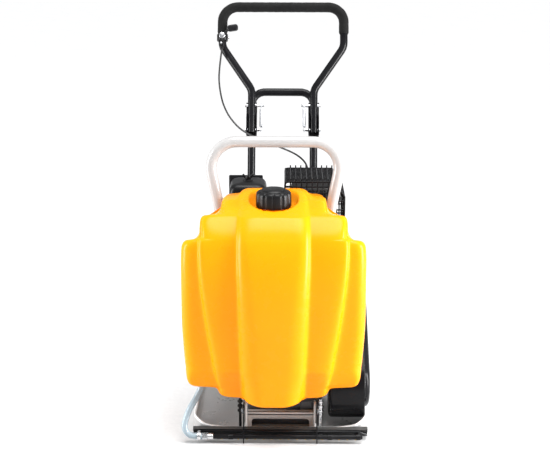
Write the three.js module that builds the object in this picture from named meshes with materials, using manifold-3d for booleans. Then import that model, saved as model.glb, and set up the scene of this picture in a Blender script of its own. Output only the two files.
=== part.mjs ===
// Forward plate compactor with a moulded water tank, a folding handle and a paving mat.
// Millimetres, +Z up, -Y the direction of travel, origin on the ground under the base plate.
import * as THREE from 'three';
import { mergeVertices } from 'three/addons/utils/BufferGeometryUtils.js';
import Module from 'manifold-3d';

// ---------- driving dimensions ----------
const GAP = 0.3; // clearance between pieces that touch
const PLATE = { w: 420, front: -288, rear: 270, wall: 6, side: 52, lip: 28, corner: 52, upturn: 55 };
const MAT = { t: 8, w: 418, top: 30 };
const RIB = { x: 83, t: 5, low: 44, high: 90 };
const DECK = { x0: -156, x1: 113, y0: -172, y1: 225, z: 178, t: 6, flange: 25 };
const MOUNT = { x: 84, y: [-105, 190], r: 22, h: 47.4 };
const EXCITER = { y: -185, z: 110, r: 52, bore: 42, half: 78, shaft: 12 };
const CRANK = { y: 75, z: 290, r: 15 };
const PULLEY = { x0: 150, x1: 176, exciter: 42, clutch: 60, belt: 4 };
const GUARD = { x0: 117, x1: 200, lower: 85, upper: 82, wall: 3 };
const TILT = THREE.MathUtils.degToRad(25); // cylinder above the horizontal
const RAKE = THREE.MathUtils.degToRad(24); // handle behind the vertical
const HANDLE = { x: 87, foot: [185, 190], r: 11, arch: 595, offset: 25 };
const PIVOT = { y: 357.2, z: 637.9, lock: 70 };
const GRIP = { x: 172, bend1: 115, bend2: 241, top: 358, end: 279, r: 15 };
const ROLL = { x: -15.5, foot: 112, knee: 430, top: 698, shoulder: 167, r: 13.5, y0: -150, y1: -122 };
const TANK = { x: -17, wall: 5, neckX: -18, neckY: -190, neckR: 32, neckBore: 28, neckTop: 579 };
const CAP = { r: 42.5, z: 557.5, top: 600, flutes: 10, fluteAt: 45.5, fluteR: 6 };
const CLEANER = { x0: -131, x1: -36, y0: -92, y1: 18, z: 508, lip: 520, top: 585 };
const STUD = { y: -38, r: 3, top: 593 }; // holds the air cleaner's cover
const FUEL = { x0: -112, x1: 112, y0: 84, y1: 200, z0: 392, z1: 490, corner: 18, wall: 7 };
const FILLER = { x: 20, y: 142, r: 20, bore: 16, z: 480, top: 496 };
const REEL = { x: -127, r: 72, ropeX: -140, ropeY: 32, ropeZ: 372 };
const CAGE = { x0: 6, x1: 156, y0: -98, y1: 62, z0: 450, z1: 596, wire: 5, cut: [26, 36] };
const HOSE = { r: 8, bore: 5.5, x: -190, y: -252, valve: 158 };

// ---------- solids ----------
const wasm = await Module();
wasm.setup();
const { Manifold, Mesh: SolidMesh } = wasm;

function solid(geometry) {
  const bare = geometry.clone();
  bare.deleteAttribute('normal');
  bare.deleteAttribute('uv');
  const merged = mergeVertices(bare, 1e-3);
  const p = merged.attributes.position.array;
  const t = Uint32Array.from(merged.index.array);
  let volume = 0;
  for (let i = 0; i < t.length; i += 3) {
    const [a, b, c] = [0, 1, 2].map((k) => new THREE.Vector3().fromArray(p, 3 * t[i + k]));
    volume += a.dot(b.cross(c));
  }
  if (volume < 0) {
    for (let i = 0; i < t.length; i += 3) [t[i], t[i + 1]] = [t[i + 1], t[i]];
  }
  const mesh = new SolidMesh({ numProp: 3, vertProperties: Float32Array.from(p), triVerts: t });
  mesh.merge();
  return new Manifold(mesh);
}

const join = (...parts) => parts.reduce((a, b) => a.add(b));
const cut = (part, ...tools) => tools.reduce((a, b) => a.subtract(b), part);

// ---------- profiles ----------
const v2 = (x, y) => new THREE.Vector2(x, y);
const poly = (points, holes = []) => {
  const shape = new THREE.Shape(points.map(([x, y]) => v2(x, y)));
  shape.holes = holes.map((h) => new THREE.Path(h.map(([x, y]) => v2(x, y))));
  return shape;
};

function arc(cx, cy, r, from, to, steps) {
  return Array.from({ length: steps + 1 }, (_, i) => {
    const a = THREE.MathUtils.degToRad(from + ((to - from) * i) / steps);
    return [cx + r * Math.cos(a), cy + r * Math.sin(a)];
  });
}

const ring = (cx, cy, r, n = 16) => arc(cx, cy, r, 0, 360, n).slice(0, n);

function roundRect(x0, y0, x1, y1, r, steps = 3) {
  return [
    ...arc(x1 - r, y1 - r, r, 0, 90, steps),
    ...arc(x0 + r, y1 - r, r, 90, 180, steps),
    ...arc(x0 + r, y0 + r, r, 180, 270, steps),
    ...arc(x1 - r, y0 + r, r, 270, 360, steps),
  ];
}

// Outline round two circles with their outer tangents, as a belt runs.
function loop([x0, y0, r0], [x1, y1, r1], steps = 8) {
  const line = THREE.MathUtils.radToDeg(Math.atan2(y1 - y0, x1 - x0));
  const lean = THREE.MathUtils.radToDeg(Math.acos((r0 - r1) / Math.hypot(x1 - x0, y1 - y0)));
  return [
    ...arc(x1, y1, r1, line - lean, line + lean, steps),
    ...arc(x0, y0, r0, line + lean, line + 360 - lean, steps),
  ];
}

// ---------- shapes laid along an axis of the machine ----------
const AXES = {
  x: new THREE.Matrix4().makeBasis(
    new THREE.Vector3(0, 1, 0), new THREE.Vector3(0, 0, 1), new THREE.Vector3(1, 0, 0)),
  y: new THREE.Matrix4().makeBasis(
    new THREE.Vector3(-1, 0, 0), new THREE.Vector3(0, 0, 1), new THREE.Vector3(0, 1, 0)),
  z: new THREE.Matrix4(),
};

// Profiles are drawn in (Y, Z) for axis x, (-X, Z) for axis y and (X, Y) for axis z.
function prism(axis, points, from, to, { holes = [], bevel = 0, steps = 2 } = {}) {
  const geometry = new THREE.ExtrudeGeometry(poly(points, holes), {
    depth: to - from - 2 * bevel,
    bevelEnabled: bevel > 0,
    bevelThickness: bevel,
    bevelSize: bevel,
    bevelOffset: -bevel,
    bevelSegments: steps,
  });
  geometry.translate(0, 0, from + bevel);
  return solid(geometry.applyMatrix4(AXES[axis]));
}

const rod = (axis, a, b, r, from, to, n = 16) => prism(axis, ring(a, b, r, n), from, to);
const box = (x0, x1, y0, y1, z0, z1) =>
  prism('z', [[x0, y0], [x1, y0], [x1, y1], [x0, y1]], z0, z1);
const puck = (x0, x1, y0, y1, z0, z1, r, bevel, corner = 3, steps = 2) =>
  prism('z', roundRect(x0, y0, x1, y1, r, corner), z0, z1, { bevel, steps });

// Turned piece: profile in (radius, height) about a vertical axis, then moved and turned.
function turned(profile, segments, place = new THREE.Matrix4()) {
  const points = profile.map(([r, h]) => v2(r, h));
  const geometry = new THREE.LatheGeometry(points, segments).rotateX(Math.PI / 2);
  return solid(geometry.applyMatrix4(place));
}

const at = (x, y, z) => new THREE.Matrix4().makeTranslation(x, y, z);
const alongX = (x, y, z) => at(x, y, z).multiply(new THREE.Matrix4().makeRotationY(Math.PI / 2));

// ---------- swept tubes ----------
class Route extends THREE.Curve {
  constructor(stations) {
    super();
    this.stations = stations;
  }
  getPoint(t) {
    const s = t * (this.stations.length - 1);
    const i = Math.min(Math.floor(s), this.stations.length - 2);
    return this.stations[i].clone().lerp(this.stations[i + 1], s - i);
  }
  getPointAt(t) {
    return this.getPoint(t);
  }
  getTangentAt(t) {
    const i = Math.round(t * (this.stations.length - 1));
    const [a, b, c] = [i - 1, i, i + 1].map((k) => this.stations[k]);
    const back = a ? b.clone().sub(a).normalize() : new THREE.Vector3();
    const ahead = c ? c.clone().sub(b).normalize() : new THREE.Vector3();
    return back.add(ahead).normalize();
  }
}

// Stations along a bent tube: straight runs joined by arcs of the given radius.
function bent(points, radius, steps = 2) {
  const p = points.map((q) => new THREE.Vector3(...q));
  const out = [p[0]];
  for (let i = 1; i < p.length - 1; i += 1) {
    const a = p[i - 1].clone().sub(p[i]).normalize();
    const b = p[i + 1].clone().sub(p[i]).normalize();
    const half = a.angleTo(b) / 2;
    const centre = a.clone().add(b).normalize().multiplyScalar(radius / Math.sin(half)).add(p[i]);
    const from = a.multiplyScalar(radius / Math.tan(half)).add(p[i]).sub(centre);
    const to = b.multiplyScalar(radius / Math.tan(half)).add(p[i]).sub(centre);
    const sweep = from.angleTo(to);
    for (let k = 0; k <= steps; k += 1) {
      const f = k / steps;
      const arm = from.clone().multiplyScalar(Math.sin((1 - f) * sweep))
        .add(to.clone().multiplyScalar(Math.sin(f * sweep))).divideScalar(Math.sin(sweep));
      out.push(arm.add(centre));
    }
  }
  return [...out, p[p.length - 1]];
}

function sweep(stations, r, n = 10, bore = 0) {
  const shape = poly(ring(0, 0, r, n), bore ? [ring(0, 0, bore, n)] : []);
  return solid(new THREE.ExtrudeGeometry(shape, {
    steps: stations.length - 1,
    extrudePath: new Route(stations),
  }));
}

const smooth = (points, count) =>
  new THREE.CatmullRomCurve3(points.map((q) => new THREE.Vector3(...q))).getSpacedPoints(count);

// ---------- colours ----------
const finish = (color, metalness, roughness) =>
  new THREE.MeshStandardMaterial({ color, metalness, roughness });
const LOOK = {
  plate: finish(0xb9b8b5, 0.3, 0.5),
  frame: finish(0xd6d3d0, 0.2, 0.45),
  black: finish(0x1d1d1f, 0.2, 0.45),
  rubber: finish(0x191919, 0, 0.8),
  foam: finish(0x161616, 0, 0.9),
  plastic: finish(0x202022, 0, 0.5),
  yellow: finish(0xf9b414, 0, 0.4),
  steel: finish(0x9da0a3, 0.8, 0.35),
  zinc: finish(0xc3c6c9, 0.8, 0.3),
  alloy: finish(0xa4a6a8, 0.7, 0.5),
  brass: finish(0xb8924a, 0.8, 0.35),
  clear: finish(0xb9ccd6, 0, 0.2),
  red: finish(0xb3201b, 0, 0.45),
};

const group = new THREE.Group();
group.name = 'plate_compactor';

function add(name, shape, look) {
  const { vertProperties, triVerts } = shape.getMesh();
  const geometry = new THREE.BufferGeometry();
  geometry.setAttribute('position', new THREE.BufferAttribute(Float32Array.from(vertProperties), 3));
  geometry.setIndex(new THREE.BufferAttribute(Uint32Array.from(triVerts), 1));
  geometry.computeVertexNormals();
  const mesh = new THREE.Mesh(geometry, LOOK[look]);
  mesh.name = name;
  group.add(mesh);
}

const hexagon = (cx, cy, r) => ring(cx, cy, r, 6);

// ---------- base plate, mat and spray bar ----------
// Side view of the plate, flat between upturned ends, and the block it leaves of a rounded plan.
function boat(inset) {
  const { w, front, rear, upturn } = PLATE;
  const z = MAT.t + GAP + upturn;
  const r = upturn - inset;
  return prism('x', [
    ...arc(front + upturn, z, r, 180, 270, 5),
    ...arc(rear - upturn, z, r, 270, 360, 5),
    [rear - inset, z + 40],
    [front + inset, z + 40],
  ], -w / 2, w / 2);
}

function tray(inset) {
  const { w, front, rear, corner, side } = PLATE;
  const plan = roundRect(-w / 2 + inset, front + inset, w / 2 - inset, rear - inset, corner - inset, 4);
  return prism('z', plan, 0, inset ? side + 20 : side).intersect(boat(inset));
}

const floor = MAT.t + GAP + PLATE.wall;
const lipCut = prism('y', [
  [-150, PLATE.lip], [150, PLATE.lip], [192, PLATE.side], [192, 80], [-192, 80], [-192, PLATE.side],
], -300, -236);
const ribSide = [
  [-262, floor - 3], [-271, 34], [-268, RIB.high], [-244, RIB.high], [-226, RIB.low],
  [200, RIB.low], [222, 18], [215, floor - 3],
];
const rib = (x) => prism('x', ribSide, x - RIB.t / 2, x + RIB.t / 2);
const MOUNT_Z = DECK.z - GAP - MOUNT.h - GAP;
const pedestal = (x, y) => {
  const leg = prism('z', roundRect(x - 21, y - 24, x + 21, y + 24, 6, 2), floor - 2, MOUNT_Z);
  return cut(leg, prism('x', [[y - 16, floor - 5], [y + 16, floor - 5], [y + 12, MOUNT_Z - 14],
    [y - 12, MOUNT_Z - 14]], x - 30, x + 30));
};
const crossbar = prism('y', [
  [-82, floor - 2], [-70, floor - 2], [-70, 30], [-62, 37], [62, 37], [70, 30], [70, floor - 2],
  [82, floor - 2], [82, 54], [-82, 54],
], -243, -236);
const crossflange = box(-82, 82, -243, -226, 48, 54);
const trayWalls = cut(tray(0), tray(PLATE.wall), lipCut);
add('base_plate', join(
  trayWalls, join(rib(-RIB.x), rib(RIB.x)).intersect(boat(2)), crossbar, crossflange,
  ...MOUNT.y.flatMap((y) => [pedestal(-MOUNT.x, y), pedestal(MOUNT.x, y)]),
), 'plate');

const bend = { y: PLATE.front + PLATE.upturn, z: MAT.t + GAP + PLATE.upturn };
const matOuter = PLATE.upturn + MAT.t + GAP;
const reach = (r) => 180 + THREE.MathUtils.radToDeg(Math.asin((bend.z - MAT.top) / r));
add('paving_mat', prism('x', [
  ...arc(bend.y, bend.z, matOuter, reach(matOuter), 270, 6),
  [PLATE.rear - 20, 0], [PLATE.rear - 20, MAT.t],
  ...arc(bend.y, bend.z, matOuter - MAT.t, 270, reach(matOuter - MAT.t), 6),
], -MAT.w / 2, MAT.w / 2), 'rubber');

// Flat bar across the mat's turned-up front edge, with its bolt heads.
const barPlace = at(0, bend.y, bend.z).multiply(
  new THREE.Matrix4().makeRotationX(THREE.MathUtils.degToRad(42)));
const placed = (shape, matrix) => shape.transform(matrix.elements);
const barY = -(matOuter + GAP);
const barBolts = [-184, -97, 97, 184].map((x) =>
  prism('y', hexagon(-x, 0, 6.5), barY - 9, barY - 4));
add('mat_clamp_bar', placed(join(
  prism('y', roundRect(-209, -12, 209, 12, 4, 2), barY - 5, barY), ...barBolts), barPlace), 'black');

const strapSide = [
  [-264, 38], [-306, 33], [-311, 5], [-315, 5], [-311, 38], [-286, 96], [-264, 96],
];
for (const [side, x] of [['l', -RIB.x], ['r', RIB.x]]) {
  const from = x < 0 ? x - RIB.t / 2 - GAP - 3 : x + RIB.t / 2 + GAP;
  const head = x < 0 ? from - 5 : from + 3;
  add(`mat_strap_${side}`, join(
    prism('x', strapSide, from, from + 3), prism('x', hexagon(-273, 72, 7), head, head + 5)), 'black');
}

const SPRAY = { y: -299.5, z: 17, r: 6, x0: -164, x1: 197 };
const clip = (x) => box(x - 7, x + 7, SPRAY.y, -292.8, SPRAY.z - 3, SPRAY.z + 3);
const jets = [-140, -60, 20, 60, 140].map((x) =>
  rod('z', x, SPRAY.y, 1.5, SPRAY.z - 8, SPRAY.z, 6));
add('spray_bar', cut(
  join(prism('x', ring(SPRAY.y, SPRAY.z, SPRAY.r, 12), SPRAY.x0, SPRAY.x1),
    clip(-118), clip(118), clip(186)),
  prism('x', ring(SPRAY.y, SPRAY.z, 4, 8), SPRAY.x0 - 1, SPRAY.x1 - 3), ...jets), 'black');

const hoseLine = [
  new THREE.Vector3(-190, HOSE.y, 141), new THREE.Vector3(-190, HOSE.y, 128),
  ...smooth([
    [-190, HOSE.y, 124], [-200, -262, 104], [-220, -284, 72], [-228, -300, 42], [-218, -302, 23],
    [-198, SPRAY.y, SPRAY.z],
  ], 11),
  new THREE.Vector3(-187, SPRAY.y, SPRAY.z),
];
add('spray_hose', sweep(hoseLine, HOSE.r, 8, HOSE.bore), 'clear');

add('hose_fitting', cut(join(
  prism('x', ring(SPRAY.y, SPRAY.z, 4.4, 8), -196, -184),
  prism('x', hexagon(SPRAY.y, SPRAY.z, 9), -186.5, -172),
  prism('x', ring(SPRAY.y, SPRAY.z, 8.2, 12), -172, -160)),
prism('x', ring(SPRAY.y, SPRAY.z, 3, 8), -200, -166),
prism('x', ring(SPRAY.y, SPRAY.z, SPRAY.r + GAP, 12), SPRAY.x0 - GAP, -150)), 'brass');

// ---------- water tank ----------
// Levels of the moulding, bottom to top: height, then half width and front face of the centre,
// middle and outer lobes, the rear face, and half width and rear face of the block behind.
const LEVELS = [
  [105, 46, -336, 52, -312, 60, -306, -274, 50, -258],
  [115, 68, -345, 74, -306, 84, -300, -272, 68, -256],
  [116, 68, -345, 110, -302, 118, -298, -272, 74, -256],
  [140, 71, -345, 127, -311, 137, -296, -272, 84, -256],
  [141, 71, -345, 127, -311, 188, -294, -272, 86, -256],
  [168, 72, -345, 133, -313, 206, -300, -272, 86, -256],
  [212, 74, -345, 141, -320, 211, -300, -227, 87, -210],
  [262, 75, -345, 149, -322, 214, -300, -178, 88, -160],
  [300, 77, -345, 155, -322, 216, -300, -172, 90, -112],
  [462, 82, -345, 172, -322, 216, -300, -172, 92, -112],
  [472, 82, -345, 172, -322, 212, -295, -173, 93, -112],
  [477, 83, -345, 172, -321, 203, -288, -175, 93, -112],
  [478, 83, -345, 172, -321, 180, -292, -172, 93, -112],
  [497, 83, -343, 171, -318, 178, -294, -172, 98, -112],
  [512, 82, -335, 169, -304, 176, -284, -172, 106, -112],
  [527, 81, -312, 167, -272, 173, -254, -172, 112, -112],
  [541, 80, -270, 164, -230, 169, -214, -172, 116, -112],
  [547, 79, -249, 157, -208, 162, -200, -174, 117, -112],
  [548, 79, -246, 117, -206, 121, -196, -170, 116, -112],
  [569, 77, -180, 112, -166, 116, -162, -148, 112, -113],
  [570, 77, -177, 80, -162, 84, -156, -144, 80, -114],
  [579, 72, -149, 76, -142, 80, -138, -130, 76, -116],
  [585, 60, -137, 64, -133, 68, -130, -126, 64, -119],
];

function outline([, cw, cy, mw, my, ow, oy, yb, bw, by], inset) {
  const [c, m, o, b] = [cw, mw, ow, bw].map((w) => w - inset);
  const [fc, fm, fo] = [cy, my, oy].map((y) => y + inset);
  const [rear, back] = [yb - inset * 0.9, by - inset];
  const rc = Math.min(24, fm - fc);
  const rm = Math.min(20, fo - fm, (m - c) / 2);
  const ro = Math.min(26, (rear - fo) / 2.2, (o - m) / 1.5);
  const rr = Math.min(16, (rear - fo) / 2.4, (o - m) / 1.5);
  const rb = Math.min(9, (back - rear) / 3);
  const side = [
    [c - 1.2 * rc, fc], [c - 0.3 * rc, fc + 0.22 * rc], [c + 2, fm],
    [m - 1.1 * rm, fm], [m - 0.2 * rm, fm + 0.25 * rm], [Math.min(m + 2, o - ro - 0.5), fo],
    ...arc(o - ro, fo + ro, ro, 270, 360, 2),
    ...arc(o - rr, rear - rr, rr, 0, 90, 1),
    [Math.min(b + rb, o - rr - 1), rear], ...arc(b - rb, back - rb, rb, 0, 90, 1),
  ];
  return [[0, fc], ...side, [0, back], ...side.map(([x, y]) => [-x, y]).reverse()];
}

function loft(levels, inset) {
  const rings = levels.map((l) => outline(l, inset));
  const n = rings[0].length;
  const positions = rings.flatMap((points, k) =>
    points.flatMap(([x, y]) => [x + TANK.x, y, levels[k][0]]));
  const index = [];
  for (let k = 0; k < rings.length - 1; k += 1) {
    for (let i = 0; i < n; i += 1) {
      const [a, b] = [k * n + i, k * n + ((i + 1) % n)];
      index.push(a, b, b + n, a, b + n, a + n);
    }
  }
  for (const [k, flip] of [[0, true], [rings.length - 1, false]]) {
    for (const t of THREE.ShapeUtils.triangulateShape(rings[k].map(([x, y]) => v2(x, y)), [])) {
      const [a, b, c] = t.map((i) => i + k * n);
      index.push(...(flip ? [a, c, b] : [a, b, c]));
    }
  }
  const geometry = new THREE.BufferGeometry();
  geometry.setAttribute('position', new THREE.Float32BufferAttribute(positions, 3));
  return solid(geometry.setIndex(index));
}

const { neckX, neckY, neckR, neckBore, neckTop } = TANK;
const neck = at(neckX, neckY, 0);
// Plug of the given radius round the filler's axis.
const plug = (r, from, to) => turned([[0, from], [r, from], [r, to], [0, to]], 20, neck);
const dish = (grow) => turned([
  [0, 553 - grow], [44 + grow, 553 - grow], [50 + grow, 557 - grow], [66 + grow, 592], [0, 592],
], 20, neck);
// Levels that the cavity follows, each with its shift up.
const CAVITY = [[1, -1], [3, 0], [5, 2], [7, 0], [8, 0], [9, -6], [12, -13], [14, -7], [16, -6],
  [18, -6], [19, -7]];
const inside = CAVITY.map(([k, lift]) => [LEVELS[k][0] + lift, ...LEVELS[k].slice(1)]);
const cavity = cut(loft(inside, TANK.wall), dish(TANK.wall));
const shell = join(cut(loft(LEVELS, 0), dish(0)), plug(neckR, 540, neckTop));
const outlet = rod('y', -HOSE.x, HOSE.valve, 8, -280, -262, 12);
add('water_tank', cut(shell, cavity, plug(neckBore, 520, 590), outlet), 'yellow');

const flutes = ring(neckX, neckY, CAP.fluteAt, CAP.flutes).map(([x, y]) =>
  rod('z', x, y, CAP.fluteR, 550, CAP.top, 5));
add('tank_cap', cut(turned([
  [0, CAP.z], [CAP.r, CAP.z], [CAP.r, CAP.top - 14], [CAP.r - 5.5, CAP.top - 4], [0, CAP.top],
], 20, neck), ...flutes, plug(neckR + GAP, 550, neckTop + GAP)), 'plastic');

const { x: hx, y: hy, valve: vz } = HOSE;
add('drain_valve', cut(join(
  rod('y', -hx, vz, 7.6, -276, hy + 10, 12), rod('z', hx, hy, 8, vz - 15, vz + 12, 12),
  rod('z', hx, hy, 4.4, vz - 28, vz - 14, 8), prism('y', hexagon(-hx, vz, 12), -271.6, -263)),
rod('z', hx, hy, 3, vz - 30, vz, 8), prism('x', ring(hy, vz, 4.4, 12), hx - 20, hx - 6),
rod('y', -hx, vz, 4, -280, hy, 8)), 'brass');
add('valve_lever', join(
  prism('x', ring(hy, vz, 4, 12), hx - 15, hx - 6.4),
  prism('x', roundRect(hy - 5, vz - 6, hy + 34, vz + 6, 4, 1), hx - 19, hx - 15)), 'red');
add('hose_clamp', cut(join(rod('z', hx, hy, HOSE.r + 2.2, vz - 29, vz - 20, 12),
  box(hx - 11, hx - 7, hy - 10, hy - 4, vz - 28, vz - 21)),
rod('z', hx, hy, HOSE.r + GAP, vz - 30, vz - 19, 12)), 'zinc');

// ---------- engine deck, rubber mounts, roll bar ----------
const { x0, x1, y0, y1 } = DECK;
const deckTop = DECK.z + DECK.t;
const fold = DECK.z - DECK.flange;
add('engine_deck', join(
  box(x0, x1, y0, y1, DECK.z, deckTop),
  box(x0, x0 + 5, y0, y1, fold, DECK.z + 1), box(x1 - 5, x1, y0, y1, fold, DECK.z + 1),
  box(x0, x1, y1 - 5, y1, fold, DECK.z + 1), box(x0, x1, y0, y0 + 5, fold + 8, DECK.z + 1)), 'black');

for (const [row, y] of [['front', MOUNT.y[0]], ['rear', MOUNT.y[1]]]) {
  for (const [side, x] of [['l', -MOUNT.x], ['r', MOUNT.x]]) {
    const z = MOUNT_Z + GAP;
    add(`rubber_mount_${row}_${side}`, turned([
      [0, z], [MOUNT.r, z], [MOUNT.r, z + 4], [MOUNT.r - 4, z + 9], [MOUNT.r - 4, z + MOUNT.h - 9],
      [MOUNT.r, z + MOUNT.h - 4], [MOUNT.r, z + MOUNT.h], [0, z + MOUNT.h]], 12, at(x, y, 0)), 'rubber');
  }
}

const rollRoute = bent([
  [ROLL.x - ROLL.foot, ROLL.y0, deckTop + 3], [ROLL.x - ROLL.foot, ROLL.y0, ROLL.knee],
  [ROLL.x - ROLL.shoulder, ROLL.y1, ROLL.top], [ROLL.x + ROLL.shoulder, ROLL.y1, ROLL.top],
  [ROLL.x + ROLL.foot, ROLL.y0, ROLL.knee], [ROLL.x + ROLL.foot, ROLL.y0, deckTop + 3],
], 62, 3);
const footPlate = (x) => join(
  box(x - 24, Math.min(x + 24, x1), -180, -118, deckTop + GAP, deckTop + 6),
  ...[-171, -128].map((y) => rod('z', x - 15, y, 6, deckTop + 5, deckTop + 11, 6)));
add('roll_bar', join(sweep(rollRoute, ROLL.r, 10),
  footPlate(ROLL.x - ROLL.foot), footPlate(ROLL.x + ROLL.foot)), 'frame');

const legL = ROLL.x - ROLL.foot;
const legR = ROLL.x + ROLL.foot;
const legBack = ROLL.y0 + ROLL.r + GAP;
add('tank_bracket', join(
  box(legL - 12, legR + 12, -111.6, -107, 330, 362),
  box(legL - 12, legL - 7, legBack + 4, -107, 330, 362),
  box(legR + 7, legR + 12, legBack + 4, -107, 330, 362),
  box(legL - 12, legL + 12, legBack, legBack + 5, 330, 362),
  box(legR - 12, legR + 12, legBack, legBack + 5, 330, 362)), 'black');

// ---------- exciter ----------
const { y: ey, z: ez } = EXCITER;
const yz = (r, n = 20) => ring(ey, ez, r, n);
const onX = (r, from, to, n = 20) => prism('x', yz(r, n), from, to);
add('exciter_housing', cut(join(
  onX(EXCITER.r, -EXCITER.half, EXCITER.half),
  box(-EXCITER.half, EXCITER.half, ey - 40, ey + 50, floor + GAP, 30),
  box(-EXCITER.half, -40, ey - 38, ey + 38, 28, 100), box(40, EXCITER.half, ey - 38, ey + 38, 28, 100),
  rod('z', 0, ey, 10, 150, 168, 6)),
onX(EXCITER.bore, -EXCITER.half - 1, EXCITER.half + 1)), 'alloy');
const capFace = EXCITER.half + GAP;
const bearing = EXCITER.shaft + GAP;
add('exciter_cover_l', cut(join(
  onX(50, -capFace - 8, -capFace), onX(30, -capFace - 14, -capFace - 7),
  onX(EXCITER.bore - GAP, -capFace - 1, -66)), onX(bearing, -84, -60)), 'alloy');
add('exciter_cover_r', cut(join(
  onX(50, capFace, capFace + 8), onX(30, capFace + 7, capFace + 14),
  onX(EXCITER.bore - GAP, 66, capFace + 1)), onX(bearing, 60, 100)), 'alloy');
const weight = [...arc(ey, ez, 37, 180, 360, 8), [ey + 37, ez + 4], [ey - 37, ez + 4]];
add('exciter_shaft', join(
  onX(EXCITER.shaft, -82, 174), prism('x', weight, -58, 58)), 'steel');

// Grooved pulley on a shaft along X.
function pulley(y, z, r, hub, bore, from, to) {
  const mid = (from + to) / 2;
  const [rim, root] = [r + PULLEY.belt, r - PULLEY.belt - 2.5];
  return turned([
    [bore, from - mid], [rim, from - mid], [rim, -8.5], [root, -6.6], [root, 6.6], [rim, 8.5],
    [rim, to - mid], [hub, to - mid], [hub, 4], [bore, 4], [bore, from - mid],
  ], 16, alongX(mid, y, z));
}
add('exciter_pulley', pulley(ey, ez, PULLEY.exciter, 30, bearing, PULLEY.x0, PULLEY.x1), 'steel');
add('clutch_drum', pulley(CRANK.y, CRANK.z, PULLEY.clutch, 46, CRANK.r + GAP,
  PULLEY.x0, PULLEY.x1), 'steel');
const run = (grow) => loop([ey, ez, PULLEY.exciter + grow], [CRANK.y, CRANK.z, PULLEY.clutch + grow]);
const beltMid = (PULLEY.x0 + PULLEY.x1) / 2;
add('drive_belt', prism('x', run(PULLEY.belt), beltMid - 6, beltMid + 6,
  { holes: [run(-PULLEY.belt)] }), 'rubber');

// ---------- belt guard ----------
const hull = (grow) => loop([ey, ez, GUARD.lower + grow], [CRANK.y, CRANK.z, GUARD.upper + grow]);
const guardBolt = [[-72, 262], [-20, 118]];
add('belt_guard', cut(
  prism('x', hull(0), GUARD.x0, GUARD.x1),
  prism('x', hull(-GUARD.wall), GUARD.x0 + GUARD.wall, GUARD.x1 + 1),
  prism('x', yz(20, 16), GUARD.x0 - 1, GUARD.x0 + 4),
  rod('x', CRANK.y, CRANK.z, 24, GUARD.x0 - 1, GUARD.x0 + 4, 16)), 'black');
const bulge = (grow) => loop([ey, ez, 54 + grow], [CRANK.y, CRANK.z, 53 + grow]);
const coverX = GUARD.x1 + GAP;
add('belt_guard_cover', cut(join(
  prism('x', hull(-1), coverX, coverX + 2.2),
  prism('x', bulge(0), coverX - 6, coverX + 12, { bevel: 6, steps: 1 }).intersect(
    box(coverX, coverX + 20, -400, 400, 0, 500)),
  ...guardBolt.map(([y, z]) => prism('x', hexagon(y, z, 7), coverX + 2, coverX + 17))),
prism('x', bulge(-4), coverX - 1, coverX + 8)), 'black');

// ---------- engine ----------
const { y: cy, z: cz } = CRANK;
const engineZ = deckTop + GAP;
add('crankcase', cut(join(
  puck(-82, 82, -8, 158, engineZ, 198, 12, 0),
  prism('x', [[8, 196], [142, 196], [150, 230], [150, 330], [122, 362], [40, 362], [2, 322], [2, 220]],
    -68, 72),
  rod('x', cy, cz, 46, 70, 86, 20),
  ...[232, 262].map((z) => rod('x', 20, z, 8, 70, GUARD.x0 - GAP, 10)),
  rod('y', -46, 222, 15, 145, 158, 12)),
rod('x', cy, cz, CRANK.r + GAP, -90, 120),
rod('y', -46, 222, 8 + GAP, 120, 170, 12)), 'alloy');
add('crankshaft', join(
  rod('x', cy, cz, CRANK.r, -104, 174), rod('x', cy, cz, 72, -112, -98, 24)), 'steel');
add('oil_dipstick', join(
  rod('y', -46, 222, 7.8, 132, 160, 10), rod('y', -46, 222, 13, 158 + GAP, 168, 12),
  puck(43, 49, 166, 182, 212, 232, 2, 0, 1)), 'plastic');

// Parts of the inclined cylinder are drawn along +Z, then laid forward over the crankshaft.
const lean = at(0, cy, cz).multiply(new THREE.Matrix4().makeRotationX(Math.PI / 2 - TILT));
const tilted = (shape) => placed(shape, lean);
const fins = [66, 81, 96, 111, 126].map((z) => puck(-54, 54, -50, 46, z, z + 4, 10, 0, 1));
add('cylinder', cut(tilted(join(
  puck(-40, 40, -38, 38, 40, 138, 14, 0, 2), ...fins,
  puck(-50, 50, -46, 44, 130, 138, 10, 0, 2))), box(-90, 90, 2 - GAP, 200, 150, 500)), 'alloy');
add('rocker_cover', tilted(puck(-44, 44, -38, 38, 138 + GAP, 160, 12, 6)), 'black');
add('spark_plug_cap', tilted(join(
  rod('x', 0, 150, 8, -70, -44.4, 10), rod('z', -64, 0, 6, 144, 176, 10))), 'rubber');

const shroud = (grow) => loop([cy, cz, 92 + grow], [-8, 340, 54 + grow]);
add('fan_shroud', cut(
  prism('x', shroud(0), -127, -74, { bevel: 6, steps: 1 }),
  prism('x', shroud(-4), -121, -70),
  rod('x', cy, cz, 46, -130, -118, 20)), 'black');
const slots = [0, 60, 120, 180, 240, 300].map((a) => {
  const t = THREE.MathUtils.degToRad(a + 30);
  return rod('x', cy + 44 * Math.cos(t), cz + 44 * Math.sin(t), 8, -160, -130, 5);
});
add('recoil_cover', cut(join(
  turned([[0, -28], [40, -28], [66, -20], [REEL.r, -8], [REEL.r, 0], [0, 0]], 18,
    alongX(REEL.x - GAP, cy, cz)),
  box(-152, -128, 24, 44, 340, 372)),
rod('x', cy, cz, 60, -149, -126, 20),
rod('z', REEL.ropeX, REEL.ropeY, 5, 350, 380, 8)), 'black');
const PULL = new THREE.Vector3(-0.35, 0, 0.937).normalize();
const pullPlace = at(REEL.ropeX, REEL.ropeY, REEL.ropeZ).multiply(
  new THREE.Matrix4().makeRotationY(Math.atan2(PULL.x, PULL.z)));
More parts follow.
